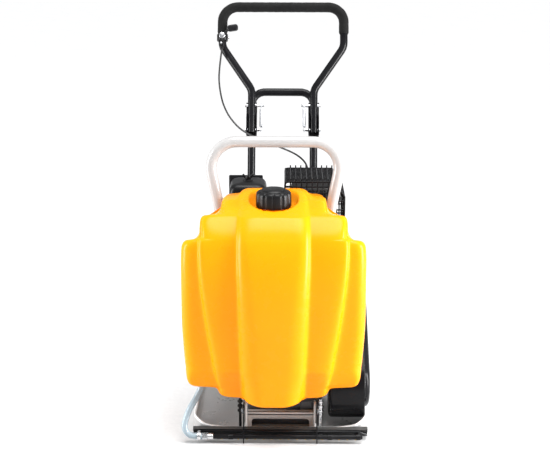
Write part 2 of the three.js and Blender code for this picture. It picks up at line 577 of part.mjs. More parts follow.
add('recoil_grip', placed(join(
  prism('y', roundRect(-9, 6, 9, 20, 5, 2), -20, 20), rod('z', 0, 0, 6, 3, 8, 10)), pullPlace), 'rubber');
add('engine_switch', join(
  box(-136, REEL.x - GAP, -32, -8, 348, 376), box(-140, -135, -27, -13, 355, 369)), 'red');

const tankBox = (grow, bevel) => puck(FUEL.x0 + grow, FUEL.x1 - grow, FUEL.y0 + grow, FUEL.y1 - grow,
  FUEL.z0 + grow, FUEL.z1 - grow, FUEL.corner, bevel);
const { x: fx, y: fy } = FILLER;
add('fuel_tank', cut(join(tankBox(0, 12), rod('z', fx, fy, FILLER.r, FILLER.z, FILLER.top),
  box(-60, -44, 100, 140, 362 + GAP, FUEL.z0 + 4), box(44, 60, 100, 140, 362 + GAP, FUEL.z0 + 4)),
tankBox(FUEL.wall, 0), rod('z', fx, fy, FILLER.bore, 470, 500)), 'black');
add('fuel_cap', cut(turned([
  [0, 488], [25, 488], [27, 492], [27, 502], [22, 507], [0, 508]], 16, at(fx, fy, 0)),
rod('z', fx, fy, FILLER.r + GAP, FILLER.z, FILLER.top + GAP),
rod('z', fx, fy, 30, 470, FUEL.z1 + GAP, 8)), 'plastic');

const cx = (CLEANER.x0 + CLEANER.x1) / 2;
const onStud = (r, from, to, n) => rod('z', cx, STUD.y, r, from, to, n);
add('carburetor', join(
  puck(cx - 24, cx + 24, -62, -10, 440, 486, 8, 0, 2), onStud(16, 484, CLEANER.z - GAP, 14),
  onStud(17, 424, 442, 14), box(cx + 20, -44, -50, -24, 408, 470), box(-60, -30, -46, -22, 408, 422),
), 'alloy');
add('choke_lever', join(
  rod('x', -26, 474, 5, cx - 28, cx - 24 - GAP, 12),
  prism('x', roundRect(-31, 470, -8, 478, 3, 1), cx - 32, cx - 27.5)), 'black');
const { x0: ax0, x1: ax1, y0: ay0, y1: ay1, z: az, lip: aLip, top: aTop } = CLEANER;
// The tray carries the cover's stud, and the intake box that stands behind the cover.
add('air_cleaner_base', cut(join(
  puck(ax0 - 2, ax1 + 2, ay0 - 2, ay1 + 2, az, aLip, 14, 0, 2),
  box(ax0 - 3, ax1 - 12, ay1 + 1, ay1 + 12, az - 8, aTop - 2),
  onStud(STUD.r, aLip - 5, STUD.top, 8)), rod('z', cx + 20, STUD.y, 10, 500, 530, 10)), 'plastic');
add('air_cleaner_cover', cut(
  puck(ax0, ax1, ay0, ay1, aLip + GAP, aTop, 16, 9, 3, 2),
  puck(ax0 + 4, ax1 - 4, ay0 + 4, ay1 - 4, aLip - 5, aTop - 8, 12, 0, 2),
  onStud(STUD.r + GAP, 570, 600, 8)), 'plastic');
add('wing_nut', cut(join(
  onStud(7, aTop + GAP, 595, 10),
  prism('y', [[-cx - 14, 598], [-cx - 6, 586], [-cx + 6, 586], [-cx + 14, 598], [-cx + 6, 594],
    [-cx - 6, 594]], STUD.y - 2, STUD.y + 2)), onStud(STUD.r + GAP, 580, STUD.top + GAP, 8)), 'black');

// ---------- muffler and its wire cage ----------
add('muffler', join(
  puck(24, 138, -72, 38, 482, 574, 30, 12, 3),
  rod('z', 34, -30, 15, 404, 486, 14), box(12, 56, -48, -12, 402, 410)), 'black');
const { x0: gx0, x1: gx1, y0: gy0, y1: gy1, z0: gz0, z1: gz1, wire: gw, cut: gc } = CAGE;
const bow = (x, top) => prism('x', [
  [gy0, gz0], [gy0 + gw, gz0], [gy0 + gw, top - gw], [gy1 - gw, top - gw], [gy1 - gw, gz0],
  [gy1, gz0], [gy1, top], [gy0, top]], x, x + gw);
// Hoop across the machine with its outer top corner cut back.
const hoop = (y) => prism('y', [
  [-gx0, gz0], [-gx0, gz1], [gc[0] - gx1, gz1], [-gx1, gz1 - gc[1]], [-gx1, gz0],
  [gw - gx1, gz0], [gw - gx1, gz1 - gc[1] - 2], [gc[0] - gx1 + 2, gz1 - gw],
  [-gx0 - gw, gz1 - gw], [-gx0 - gw, gz0]].reverse(), y, y + gw);
const belt = (z) => [
  box(gx0, gx1, gy0, gy0 + gw, z, z + gw), box(gx0, gx1, gy1 - gw, gy1, z, z + gw),
  box(gx0, gx0 + gw, gy0, gy1, z, z + gw), box(gx1 - gw, gx1, gy0, gy1, z, z + gw)];
add('muffler_guard', join(
  ...[0, 1 / 3, 2 / 3, 1].map((f) => bow(gx0 + f * (gx1 - gc[0] - gx0 - gw), gz1)),
  bow(gx1 - gw, gz1 - gc[1] - 1), hoop(gy0), hoop(gy1 - gw), ...belt(524), ...belt(gz0),
  box(70, 76, gy0 + 1, gy1 - 1, gz0 + 1, gz0 + 4), box(66, 80, -60, -30, gz0 + 2, 482 - GAP)), 'black');

// ---------- folding handle ----------
// Frame of the raked handle: X across, S up the tube, N forward of it.
const S = new THREE.Vector3(0, Math.sin(RAKE), Math.cos(RAKE));
const N = new THREE.Vector3(0, -Math.cos(RAKE), Math.sin(RAKE));
const raked = (origin) => new THREE.Matrix4().makeBasis(new THREE.Vector3(1, 0, 0), N.clone().negate(), S)
  .setPosition(new THREE.Vector3(...origin));
const lower = raked([0, ...HANDLE.foot]);
const upper = raked([0, PIVOT.y, PIVOT.z]);
const pivotS = (PIVOT.y - HANDLE.foot[0]) * S.y + (PIVOT.z - HANDLE.foot[1]) * S.z;

const through = (from, to, s, n, r, k = 8) => prism('x', ring(-n, s, r, k), from, to);
// Clevis round each upper leg: web behind it, cheeks beside it, a finger behind the lock bolt.
function clevis(x) {
  const s = pivotS;
  const off = HANDLE.offset;
  const outer = [x - HANDLE.r - 4, x + HANDLE.r + 4];
  const cheek = [[14 - off, s - 16], [-9 - off, s - 16], [-9 - off, s + 36], [5 - off, s + 52],
    [5 - off, s + 80], [14 - off, s + 80]];
  const slab = (a, b) => prism('x', cheek, a, b);
  return cut(join(
    slab(outer[0], outer[0] + 3), slab(outer[1] - 3, outer[1]),
    box(outer[0], outer[1], 12 - off, 15.5 - off, s - 16, s + 80)),
  through(outer[0] - 1, outer[1] + 1, s, off, 4 + 2 * GAP));
}
const lowerRoute = bent([
  [-HANDLE.x, 0, 0], [-HANDLE.x, 0, HANDLE.arch], [HANDLE.x, 0, HANDLE.arch], [HANDLE.x, 0, 0],
], 36);
const footY = HANDLE.foot[0];
const handleFoot = (x) => join(
  box(x - 22, x + 22, footY - 26, footY + 36, deckTop + GAP, deckTop + 6),
  prism('x', [[footY - 12, deckTop + 3], [footY + 30, deckTop + 3], [footY + 34, 250], [footY + 20, 250]],
    x - 3, x + 3),
  rod('z', x - 14, footY - 16, 6, deckTop + 5, deckTop + 11, 6),
  rod('z', x + 14, footY + 26, 6, deckTop + 5, deckTop + 11, 6));
add('lower_handle', join(
  placed(join(sweep(lowerRoute, HANDLE.r), clevis(-HANDLE.x), clevis(HANDLE.x)), lower),
  handleFoot(-HANDLE.x), handleFoot(HANDLE.x)), 'black');

const gripPoints = (x, s) => [x, 0, s];
const gripRoute = bent([
  gripPoints(-HANDLE.x, -15), gripPoints(-HANDLE.x, GRIP.bend1), gripPoints(-GRIP.x, GRIP.bend2),
  gripPoints(-GRIP.x, GRIP.top), gripPoints(GRIP.x, GRIP.top), gripPoints(GRIP.x, GRIP.bend2),
  gripPoints(HANDLE.x, GRIP.bend1), gripPoints(HANDLE.x, -15),
], 44);
const pin = (x, s) => through(x - 20, x + 20, s, 0, 4 + GAP);
// What rounds a leg's lower end about the pivot, so that it turns clear of the clevis.
const heel = (x) => cut(
  box(x - 13, x + 13, -13, 13, -16, 0), through(x - 14, x + 14, 0, 0, HANDLE.r + 0.6, 16));
add('upper_handle', placed(cut(sweep(gripRoute, HANDLE.r, 8, HANDLE.r - 2),
  ...[-HANDLE.x, HANDLE.x].flatMap((x) => [heel(x), pin(x, 0), pin(x, PIVOT.lock)])), upper), 'black');
const foamRoute = bent([
  gripPoints(-GRIP.x, GRIP.end), gripPoints(-GRIP.x, GRIP.top), gripPoints(GRIP.x, GRIP.top),
  gripPoints(GRIP.x, GRIP.end)], 44);
add('foam_grip', placed(sweep(foamRoute, GRIP.r, 8, HANDLE.r + GAP), upper), 'foam');

for (const [side, sign] of [['l', -1], ['r', 1]]) {
  const span = (a, b) => (sign < 0 ? [-b, -a] : [a, b]);
  const bolt = (s, inner) => placed(join(
    through(...span(inner, 104), s, 0, 4),
    prism('x', ring(0, s, 7.5, 6), ...span(HANDLE.x + HANDLE.r + 4 + GAP, HANDLE.x + HANDLE.r + 10)),
    prism('x', ring(0, s, 7.5, 6), ...span(65, HANDLE.x - HANDLE.r - 4 - GAP))), upper);
  add(`pivot_bolt_${side}`, bolt(0, 57), 'black');
  add(`lock_bolt_${side}`, bolt(PIVOT.lock, 52), 'black');
  const eye = (s) => cut(
    through(...span(58, 62), s, 0, 7, 10), through(...span(50, 70), s, 0, 4 + GAP));
  add(`handle_spring_${side}`, placed(cut(join(
    eye(0), eye(PIVOT.lock),
    rod('z', sign * 60, 0, 5, 6, PIVOT.lock - 6, 8)),
  through(...span(50, 70), 0, 0, 4 + GAP), through(...span(50, 70), PIVOT.lock, 0, 4 + GAP)), upper), 'zinc');
}

// ---------- throttle lever and cable ----------
const THROTTLE = { s: 268, x: -GRIP.x, front: -17 };
add('throttle_clamp', placed(cut(join(
  rod('z', -GRIP.x, 0, 15.5, THROTTLE.s - 10, THROTTLE.s + 9, 12),
  box(-GRIP.x - 6, -GRIP.x + 6, THROTTLE.front, -11, THROTTLE.s - 6, THROTTLE.s + 6),
  box(-GRIP.x - 6, -GRIP.x + 6, -24, -13.5, THROTTLE.s - 34, THROTTLE.s - 9)),
rod('z', -GRIP.x, 0, HANDLE.r + 0.6, THROTTLE.s - 20, THROTTLE.s + 20, 12),
rod('z', -GRIP.x, -19, 3.2, THROTTLE.s - 40, THROTTLE.s - 22, 8)), upper), 'plastic');

add('throttle_lever', placed(placed(join(
  prism('y', ring(0, 0, 8.5, 12), -6, 0), prism('y', ring(0, 0, 4, 6), -9, -5),
  prism('y', [[3, -4], [3, 4], [-20, 16], [-20, 9]], -5.5, -1),
  prism('y', roundRect(-48, 8, -18, 26, 6, 1), -9, 5, { bevel: 3, steps: 1 })),
at(THROTTLE.x, THROTTLE.front - GAP, THROTTLE.s)), upper), 'plastic');

const inHandle = (x, y, h) => new THREE.Vector3(x, y, h).applyMatrix4(upper);
const cableLine = [
  inHandle(THROTTLE.x, -19, THROTTLE.s - 23),
  ...smooth([
    inHandle(THROTTLE.x, -19, THROTTLE.s - 38).toArray(), [-178, 424, 806], [-180, 418, 770],
    [-176, 414, 733], [-166, 396, 700], [-146, 372, 668], [-112, 338, 640], [-60, 300, 621],
    [-5, 258, 608], [40, 212, 596], [64, 165, 580], [66, 122, 556], [54, 90, 526], [32, 77, 497],
    [4, 78, 470], [-18, 46, 452], [-32, 4, 452], [-44, -13, 470],
  ], 26),
  new THREE.Vector3(-59, -16, 478),
];
add('throttle_cable', sweep(cableLine, 2.5, 6), 'rubber');

export default group;
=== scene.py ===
"""Visual model of the plate compactor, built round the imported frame. Lengths are in mm until mesh()."""
import math

import bmesh
import bpy
from mathutils import Matrix, Vector


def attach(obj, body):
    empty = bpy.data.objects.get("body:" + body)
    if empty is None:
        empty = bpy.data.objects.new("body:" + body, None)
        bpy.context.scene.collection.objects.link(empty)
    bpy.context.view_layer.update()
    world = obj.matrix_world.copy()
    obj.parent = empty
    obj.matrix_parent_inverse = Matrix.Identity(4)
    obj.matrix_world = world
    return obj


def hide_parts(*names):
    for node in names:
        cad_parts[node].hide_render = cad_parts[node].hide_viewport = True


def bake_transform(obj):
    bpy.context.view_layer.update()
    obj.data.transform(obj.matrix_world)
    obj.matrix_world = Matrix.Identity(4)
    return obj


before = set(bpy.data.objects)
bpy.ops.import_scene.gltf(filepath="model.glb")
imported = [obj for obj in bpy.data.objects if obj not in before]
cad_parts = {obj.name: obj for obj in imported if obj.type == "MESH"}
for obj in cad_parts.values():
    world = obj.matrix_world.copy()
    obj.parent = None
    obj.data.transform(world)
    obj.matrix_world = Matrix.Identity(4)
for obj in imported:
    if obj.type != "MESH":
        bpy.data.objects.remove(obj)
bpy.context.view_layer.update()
scene = bpy.context.scene


# ---------- camera ----------
CAMERA = (0.0135, -2.80, 1.22)
YAW, DOWN, ROLL = 0.62, 15.2, 0.12
SENSOR, FOCAL_TO_WIDTH = 36, 1143 / 550


def make_camera():
    data = bpy.data.cameras.new("camera")
    data.sensor_width, data.lens = SENSOR, SENSOR * FOCAL_TO_WIDTH
    camera = bpy.data.objects.new("camera", data)
    scene.collection.objects.link(camera)
    turn = (Matrix.Rotation(math.radians(YAW), 4, "Z") @ Matrix.Rotation(math.radians(90 - DOWN), 4, "X")
            @ Matrix.Rotation(math.radians(ROLL), 4, "Z"))
    camera.matrix_world = Matrix.Translation(CAMERA) @ turn
    scene.camera = camera


make_camera()


# ---------- shapes: each is (vertices, faces) in mm ----------
def arc(cx, cy, r, a, b, n):
    return [(cx + r * math.cos(math.radians(a + (b - a) * i / n)),
             cy + r * math.sin(math.radians(a + (b - a) * i / n))) for i in range(n + 1)]


def ring(cx, cy, r, n=48):
    return arc(cx, cy, r, 0, 360, n)[:-1]


def rounded(x0, y0, x1, y1, r, n=6):
    return (arc(x1 - r, y1 - r, r, 0, 90, n) + arc(x0 + r, y1 - r, r, 90, 180, n)
            + arc(x0 + r, y0 + r, r, 180, 270, n) + arc(x1 - r, y0 + r, r, 270, 360, n))


def loop(a, b, n=28):
    (x0, y0, r0), (x1, y1, r1) = a, b
    line = math.degrees(math.atan2(y1 - y0, x1 - x0))
    lean = math.degrees(math.acos((r0 - r1) / math.hypot(x1 - x0, y1 - y0)))
    return arc(x1, y1, r1, line - lean, line + lean, n) + arc(x0, y0, r0, line + lean, line + 360 - lean, n)


LAY = {
    "x": lambda u, v, w: (w, u, v),
    "y": lambda u, v, w: (-u, w, v),
    "z": lambda u, v, w: (u, v, w),
}


def stack(levels):
    """Closed solid through rings of equal count, capped at both ends."""
    n = len(levels[0])
    verts = [p for level in levels for p in level]
    faces = [tuple(range(n))[::-1], tuple(range(len(verts) - n, len(verts)))]
    for k in range(len(levels) - 1):
        for i in range(n):
            j = (i + 1) % n
            faces.append((k * n + i, k * n + j, (k + 1) * n + j, (k + 1) * n + i))
    return verts, faces


def inset(points, d):
    """The outline moved inwards by d."""
    out, n = [], len(points)
    area = sum(points[i - 1][0] * points[i][1] - points[i][0] * points[i - 1][1] for i in range(n))
    s = 1 if area > 0 else -1
    for i in range(n):
        (ax, ay), (bx, by), (cx, cy) = points[i - 1], points[i], points[(i + 1) % n]
        n1, n2 = Vector((ay - by, bx - ax)), Vector((by - cy, cx - bx))
        n1, n2 = n1.normalized() * s, n2.normalized() * s
        m = (n1 + n2)
        m = m / max(m.length_squared / 2, 0.6)
        out.append((bx + m.x * d, by + m.y * d))
    return out


def prism(axis, points, a, b, edge=0.0, steps=3):
    """Extrusion along an axis, with its end edges rounded by edge."""
    lay, a, b = LAY[axis], min(a, b), max(a, b)
    levels = [(a, points)]
    if edge:
        levels = []
        for i in range(steps + 1):
            t = math.pi / 2 * i / steps
            levels.append((a + edge * (1 - math.cos(t)), inset(points, edge * (1 - math.sin(t)))))
        levels += [(b - (z - a), p) for z, p in reversed(levels)]
    else:
        levels.append((b, points))
    return stack([[lay(u, v, z) for u, v in p] for z, p in levels])


def rod(axis, u, v, r, a, b, n=40, edge=0.6):
    return prism(axis, ring(u, v, r, n), a, b, min(edge, r * 0.4, abs(b - a) * 0.3), 2)


def block(x0, x1, y0, y1, z0, z1, r=1.0):
    r = min(r, (x1 - x0) * 0.4, (y1 - y0) * 0.4, (z1 - z0) * 0.4)
    return prism("z", rounded(x0, y0, x1, y1, r, 3), z0, z1, r, 2)


def hexa(u, v, r):
    return ring(u, v, r, 6)


def lathe(profile, n=64, place=Matrix(), wave=None):
    """Turned solid: profile of (radius, height), from the axis to the axis. wave(angle, k) scales ring k."""
    verts, faces = [], []
    first, last = profile[0], profile[-1]
    rings = profile[1:-1] if first[0] == 0 else profile
    for k, (r, h) in enumerate(rings):
        for i in range(n):
            t = 2 * math.pi * i / n
            q = r * (wave(t, k) if wave else 1)
            verts.append(tuple(place @ Vector((q * math.cos(t), q * math.sin(t), h))))
    m = len(rings)
    span = m - 1 if first[0] == 0 else m
    for k in range(span):
        for i in range(n):
            j = (i + 1) % n
            faces.append((k * n + i, k * n + j, (k + 1) % m * n + j, (k + 1) % m * n + i))
    if first[0] == 0:
        verts += [tuple(place @ Vector((0, 0, first[1]))), tuple(place @ Vector((0, 0, last[1])))]
        s, e = len(verts) - 2, len(verts) - 1
        for i in range(n):
            j = (i + 1) % n
            faces += [(s, j, i), (e, (m - 1) * n + i, (m - 1) * n + j)]
    return verts, faces


def frames(path):
    """Tangent and two normals at each point, without twist."""
    p = [Vector(q) for q in path]
    out, normal = [], None
    for i, q in enumerate(p):
        t = (p[min(i + 1, len(p) - 1)] - p[max(i - 1, 0)]).normalized()
        if normal is None:
            normal = t.cross(Vector((0.13, 1, 0.21)) if abs(t.y) < 0.8 else Vector((1, 0, 0))).normalized()
        normal = (normal - t * normal.dot(t)).normalized()
        out.append((q, normal.copy(), t.cross(normal)))
    return out


def tube(path, r, n=24):
    radius = r if callable(r) else (lambda k: r)
    levels = []
    for k, (q, a, b) in enumerate(frames(path)):
        levels.append([tuple(q + (a * math.cos(2 * math.pi * i / n) + b * math.sin(2 * math.pi * i / n)) * radius(k))
                       for i in range(n)])
    return stack(levels)


def bent(points, radius, n=10):
    p = [Vector(q) for q in points]
    out = [p[0]]
    for i in range(1, len(p) - 1):
        a, b = (p[i - 1] - p[i]).normalized(), (p[i + 1] - p[i]).normalized()
        half = a.angle(b) / 2
        centre = p[i] + (a + b).normalized() * radius / math.sin(half)
        u, v = p[i] + a * radius / math.tan(half) - centre, p[i] + b * radius / math.tan(half) - centre
        w = u.angle(v)
        for k in range(n + 1):
            f = k / n
            out.append(centre + (u * math.sin((1 - f) * w) + v * math.sin(f * w)) / math.sin(w))
    return out + [p[-1]]


def spaced(points, step):
    """Points at an even spacing along a polyline."""
    p = [Vector(q) for q in points]
    lengths = [0.0]
    for a, b in zip(p, p[1:]):
        lengths.append(lengths[-1] + (b - a).length)
    count = max(2, round(lengths[-1] / step))
    out, k = [], 0
    for i in range(count + 1):
        s = lengths[-1] * i / count
        while k < len(p) - 2 and lengths[k + 1] < s:
            k += 1
        f = (s - lengths[k]) / max(lengths[k + 1] - lengths[k], 1e-9)
        out.append(p[k].lerp(p[k + 1], min(max(f, 0), 1)))
    return out


def smooth(points, per=8):
    """Uniform Catmull-Rom curve through the points."""
    p = [Vector(q) for q in points]
    p = [p[0] * 2 - p[1]] + p + [p[-1] * 2 - p[-2]]
    out = []
    for i in range(1, len(p) - 2):
        for k in range(per):
            t = k / per
            a, b, c, d = p[i - 1:i + 3]
            out.append(0.5 * (2 * b + (c - a) * t + (2 * a - 5 * b + 4 * c - d) * t * t
                              + (3 * b - a - 3 * c + d) * t ** 3))
    return out + [p[-2]]


def moved(shape, matrix):
    return [tuple(matrix @ Vector(v)) for v in shape[0]], shape[1]


def bolt_head(axis, u, v, a, b, r=6.5):
    """Hexagon head with a washer under it, from a to b along the axis."""
    s = 1 if b > a else -1
    return [rod(axis, u, v, r * 1.45, a, a + 1.2 * s, 32, 0.3),
            prism(axis, hexa(u, v, r), a + 1.2 * s, b, 0.9, 2)]


MM = 0.001


def mesh(name, shapes, body, look, stands_for=(), sharp=35):
    """Piece made of the shapes, with edges sharper than sharp degrees kept crisp, riding on a body."""
    shapes = shapes if isinstance(shapes, list) else [shapes]
    verts, faces = [], []
    for v, f in shapes:
        base = len(verts)
        verts += [(x * MM, y * MM, z * MM) for x, y, z in v]
        faces += [tuple(i + base for i in g) for g in f]
    data = bpy.data.meshes.new(name)
    data.from_pydata(verts, [], faces)
    bm = bmesh.new()
    bm.from_mesh(data)
    bmesh.ops.recalc_face_normals(bm, faces=bm.faces)
    for f in bm.faces:
        f.smooth = True
    for e in bm.edges:
        if len(e.link_faces) == 2 and e.calc_face_angle(0) > math.radians(sharp):
            e.smooth = False
    bm.to_mesh(data)
    bm.free()
    data.materials.append(LOOK[look])
    obj = bpy.data.objects.new(name, data)
    scene.collection.objects.link(obj)
    if body:
        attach(obj, body)
    if stands_for:
        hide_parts(*([stands_for] if isinstance(stands_for, str) else stands_for))
    return obj


# ---------- materials ----------
def link(nt, a, b):
    nt.links.new(a, b)


def noise(nt, scale, detail=4, rough=0.55, vector=None):
    n = nt.nodes.new("ShaderNodeTexNoise")
    n.inputs["Scale"].default_value, n.inputs["Detail"].default_value = scale, detail
    n.inputs["Roughness"].default_value = rough
    link(nt, vector, n.inputs["Vector"])
    return n.outputs["Fac"]


def ramp(nt, fac, stops):
    n = nt.nodes.new("ShaderNodeValToRGB")
    while len(n.color_ramp.elements) < len(stops):
        n.color_ramp.elements.new(0.5)
    for e, (at, c) in zip(n.color_ramp.elements, stops):
        e.position, e.color = at, (*c, 1)
    link(nt, fac, n.inputs[0])
    return n.outputs[0]


def remap(nt, fac, lo, hi, a, b):
    n = nt.nodes.new("ShaderNodeMapRange")
    for k, v in zip(("From Min", "From Max", "To Min", "To Max"), (lo, hi, a, b)):
        n.inputs[k].default_value = v
    link(nt, fac, n.inputs[0])
    return n.outputs[0]


def mix(nt, fac, socket, colour):
    """From the socket's colour to a fixed one as fac goes from 0 to 1."""
    n = nt.nodes.new("ShaderNodeMix")
    n.data_type = "RGBA"
    link(nt, fac, n.inputs[0])
    link(nt, socket, n.inputs[6])
    n.inputs[7].default_value = (*colour, 1)
    return n.outputs[2]


def maths(nt, op, a, b):
    n = nt.nodes.new("ShaderNodeMath")
    n.operation = op
    for socket, value in ((n.inputs[0], a), (n.inputs[1], b)):
        if isinstance(value, (int, float)):
            socket.default_value = value
        else:
            link(nt, value, socket)
    return n.outputs[0]


def surface(name, dark, light, rough, metallic=0.0, coat=0.0, patch=6, grain=400, bump=0.1, depth=0.0002,
            stretch=(1, 1, 1), wear=None, dust=None, **sockets):
    """A finish: colour drifts between dark and light, grain gives the fine relief and gloss changes.
    wear = (colour, width mm) shows bare metal along edges; dust = (colour, amount) lies on upward faces."""
    m = bpy.data.materials.new(name)
    m.use_nodes = True
    nt = m.node_tree
    shader = nt.nodes["Principled BSDF"]
    where = nt.nodes.new("ShaderNodeTexCoord").outputs["Object"]
    mapping = nt.nodes.new("ShaderNodeMapping")
    mapping.inputs["Scale"].default_value = stretch
    link(nt, where, mapping.inputs["Vector"])
    where = mapping.outputs[0]
    drift = noise(nt, patch, 5, 0.6, where)
    fine = noise(nt, grain, 3, 0.6, where)
    colour = ramp(nt, drift, [(0.3, dark), (0.7, light)])
    speck = ramp(nt, noise(nt, grain * 0.35, 6, 0.7, where), [(0.35, (0.88,) * 3), (0.65, (1.0,) * 3)])
    n = nt.nodes.new("ShaderNodeMix")
    n.data_type, n.blend_type = "RGBA", "MULTIPLY"
    n.inputs[0].default_value = 0.6
    link(nt, colour, n.inputs[6])
    link(nt, speck, n.inputs[7])
    colour = n.outputs[2]
    gloss = remap(nt, noise(nt, patch * 7, 5, 0.65, where), 0.3, 0.7, *rough)
    metal = None
    if dust:
        up = nt.nodes.new("ShaderNodeNewGeometry").outputs["Normal"]
        sep = nt.nodes.new("ShaderNodeSeparateXYZ")
        link(nt, up, sep.inputs[0])
        lies = maths(nt, "MULTIPLY", remap(nt, sep.outputs[2], 0.2, 1.0, 0, dust[1]),
                     remap(nt, noise(nt, 35, 8, 0.7, where), 0.4, 0.7, 0.15, 1))
        colour = mix(nt, lies, colour, dust[0])
        gloss = maths(nt, "ADD", gloss, maths(nt, "MULTIPLY", lies, 0.4))
    if wear:
        b = nt.nodes.new("ShaderNodeBevel")
        b.samples, b.inputs["Radius"].default_value = 4, wear[1] * 0.001
        g = nt.nodes.new("ShaderNodeNewGeometry")
        dot = nt.nodes.new("ShaderNodeVectorMath")
        dot.operation = "DOT_PRODUCT"
        link(nt, b.outputs[0], dot.inputs[0])
        link(nt, g.outputs["Normal"], dot.inputs[1])
        edge = maths(nt, "SUBTRACT", 1, dot.outputs["Value"])
        chip = remap(nt, noise(nt, 90, 8, 0.75, where), 0.42, 0.62, 0, 1)
        bare = maths(nt, "MULTIPLY", remap(nt, edge, 0.02, 0.12, 0, 1), chip)
        colour = mix(nt, bare, colour, wear[0])
        metal = maths(nt, "ADD", metallic, maths(nt, "MULTIPLY", bare, 1 - metallic))
    link(nt, colour, shader.inputs["Base Color"])
    link(nt, gloss, shader.inputs["Roughness"])
    if metal is None:
        shader.inputs["Metallic"].default_value = metallic
    else:
        link(nt, metal, shader.inputs["Metallic"])
    shader.inputs["Coat Weight"].default_value = coat
    shader.inputs["Coat Roughness"].default_value = 0.12
    for key, value in sockets.items():
        shader.inputs[key.replace("_", " ")].default_value = value
    relief = nt.nodes.new("ShaderNodeBump")
    relief.inputs["Strength"].default_value, relief.inputs["Distance"].default_value = bump, depth
    link(nt, fine, relief.inputs["Height"])
    link(nt, relief.outputs[0], shader.inputs["Normal"])
    return m


LOOK = {
    "yellow": surface("yellow_plastic", (0.90, 0.285, 0.001), (0.93, 0.31, 0.002), (0.24, 0.3),
                      patch=3, grain=900, bump=0.06, Specular_IOR_Level=0.14),
    "plate": surface("plate_metal", (0.44, 0.435, 0.43), (0.5, 0.495, 0.49), (0.26, 0.34), metallic=0.3,
                     patch=3, grain=500, bump=0.04),
    # Near-white finish for the top of the plate's lip: a painted highlight standing for the bright line of light
    # along the rim.
    "rim": surface("rim_painted_highlight", (0.7, 0.7, 0.7), (0.8, 0.8, 0.79), (0.3, 0.45), metallic=0.1, patch=30,
                   grain=500, bump=0.1),
    "pale": surface("plate_paint", (0.66, 0.645, 0.63), (0.74, 0.725, 0.71), (0.28, 0.4), coat=0.2,
                    patch=8, grain=450, bump=0.08, dust=((0.6, 0.57, 0.53), 0.1)),
    "frame": surface("frame_paint", (0.40, 0.392, 0.388), (0.45, 0.443, 0.438), (0.16, 0.26), coat=0.4,
                     patch=4, grain=350, bump=0.06),
    "black": surface("black_paint", (0.004, 0.004, 0.005), (0.011, 0.011, 0.012), (0.18, 0.28),
                     patch=9, grain=700, bump=0.06, wear=((0.2, 0.2, 0.2), 0.25), Specular_IOR_Level=0.13),
    "satin": surface("black_satin", (0.003, 0.003, 0.0035), (0.008, 0.008, 0.009), (0.3, 0.42),
                     patch=9, grain=900, bump=0.12, Specular_IOR_Level=0.2),
    "heat": surface("heat_black", (0.008, 0.0075, 0.0075), (0.022, 0.02, 0.019), (0.5, 0.7), patch=14,
                    grain=600, bump=0.3, wear=((0.12, 0.1, 0.09), 0.6)),
    "rubber": surface("rubber", (0.006, 0.006, 0.006), (0.015, 0.015, 0.015), (0.55, 0.75), patch=12,
                      grain=700,
                      bump=0.3, dust=((0.05, 0.048, 0.045), 0.3)),
    "mat": surface("mat_rubber", (0.004, 0.004, 0.004), (0.012, 0.012, 0.012), (0.42, 0.6), patch=10,
                   grain=350, bump=0.35, dust=((0.06, 0.056, 0.05), 0.25)),
    "foam": surface("foam", (0.002, 0.002, 0.002), (0.006, 0.006, 0.006), (0.62, 0.8), patch=12,
                    grain=1400, bump=0.5, depth=0.0004, Sheen_Weight=0.04, Sheen_Roughness=0.5,
                    Specular_IOR_Level=0.15),
    "cable": surface("cable_jacket", (0.005, 0.005, 0.005), (0.01, 0.01, 0.01), (0.35, 0.45), patch=20,
                     grain=500, bump=0.1, Specular_IOR_Level=0.4),
    "alloy": surface("cast_alloy", (0.30, 0.30, 0.31), (0.44, 0.44, 0.45), (0.38, 0.55), metallic=0.85,
                     patch=10,
                     grain=260, bump=0.5, dust=((0.2, 0.19, 0.18), 0.2)),
    "iron": surface("cast_iron", (0.07, 0.07, 0.073), (0.12, 0.12, 0.124), (0.45, 0.65), metallic=0.6,
                    patch=10,
                    grain=220, bump=0.6),
    "steel": surface("turned_steel", (0.45, 0.45, 0.46), (0.6, 0.6, 0.61), (0.22, 0.38), metallic=1.0,
                     patch=8,
                     grain=300, bump=0.12, stretch=(6, 1, 1)),
    "zinc": surface("zinc_plate", (0.6, 0.61, 0.63), (0.74, 0.75, 0.76), (0.2, 0.32), metallic=1.0, patch=12,
                    grain=500, bump=0.1),
    "spring": surface("spring_wire", (0.52, 0.53, 0.55), (0.62, 0.63, 0.65), (0.3, 0.42), metallic=0.35,
                      patch=12,
                      grain=500, bump=0.08),
    "brass": surface("brass", (0.56, 0.36, 0.13), (0.7, 0.48, 0.2), (0.22, 0.36), metallic=1.0, patch=12,
                     grain=400, bump=0.1),
    "clear": surface("clear_hose", (0.30, 0.38, 0.43), (0.38, 0.46, 0.51), (0.18, 0.28), patch=14, grain=200,
                     bump=0.03, coat=0.3, Transmission_Weight=0.12, IOR=1.42),
    "red": surface("red_plastic", (0.4, 0.012, 0.008), (0.55, 0.02, 0.012), (0.3, 0.42), coat=0.2, patch=10,
                   grain=700, bump=0.1),
}


# ---------- water tank ----------
TANK_X = -17
NECK_X, NECK_Y = TANK_X - 1, -190
# The dish round the neck: its floor, the radii of its flat part and of its outside, the width and rise of its bank.
DISH, DISH_FLAT, DISH_OUT, BANK, RISE, BLEND = 553, 47, 74, 24, 36, 4
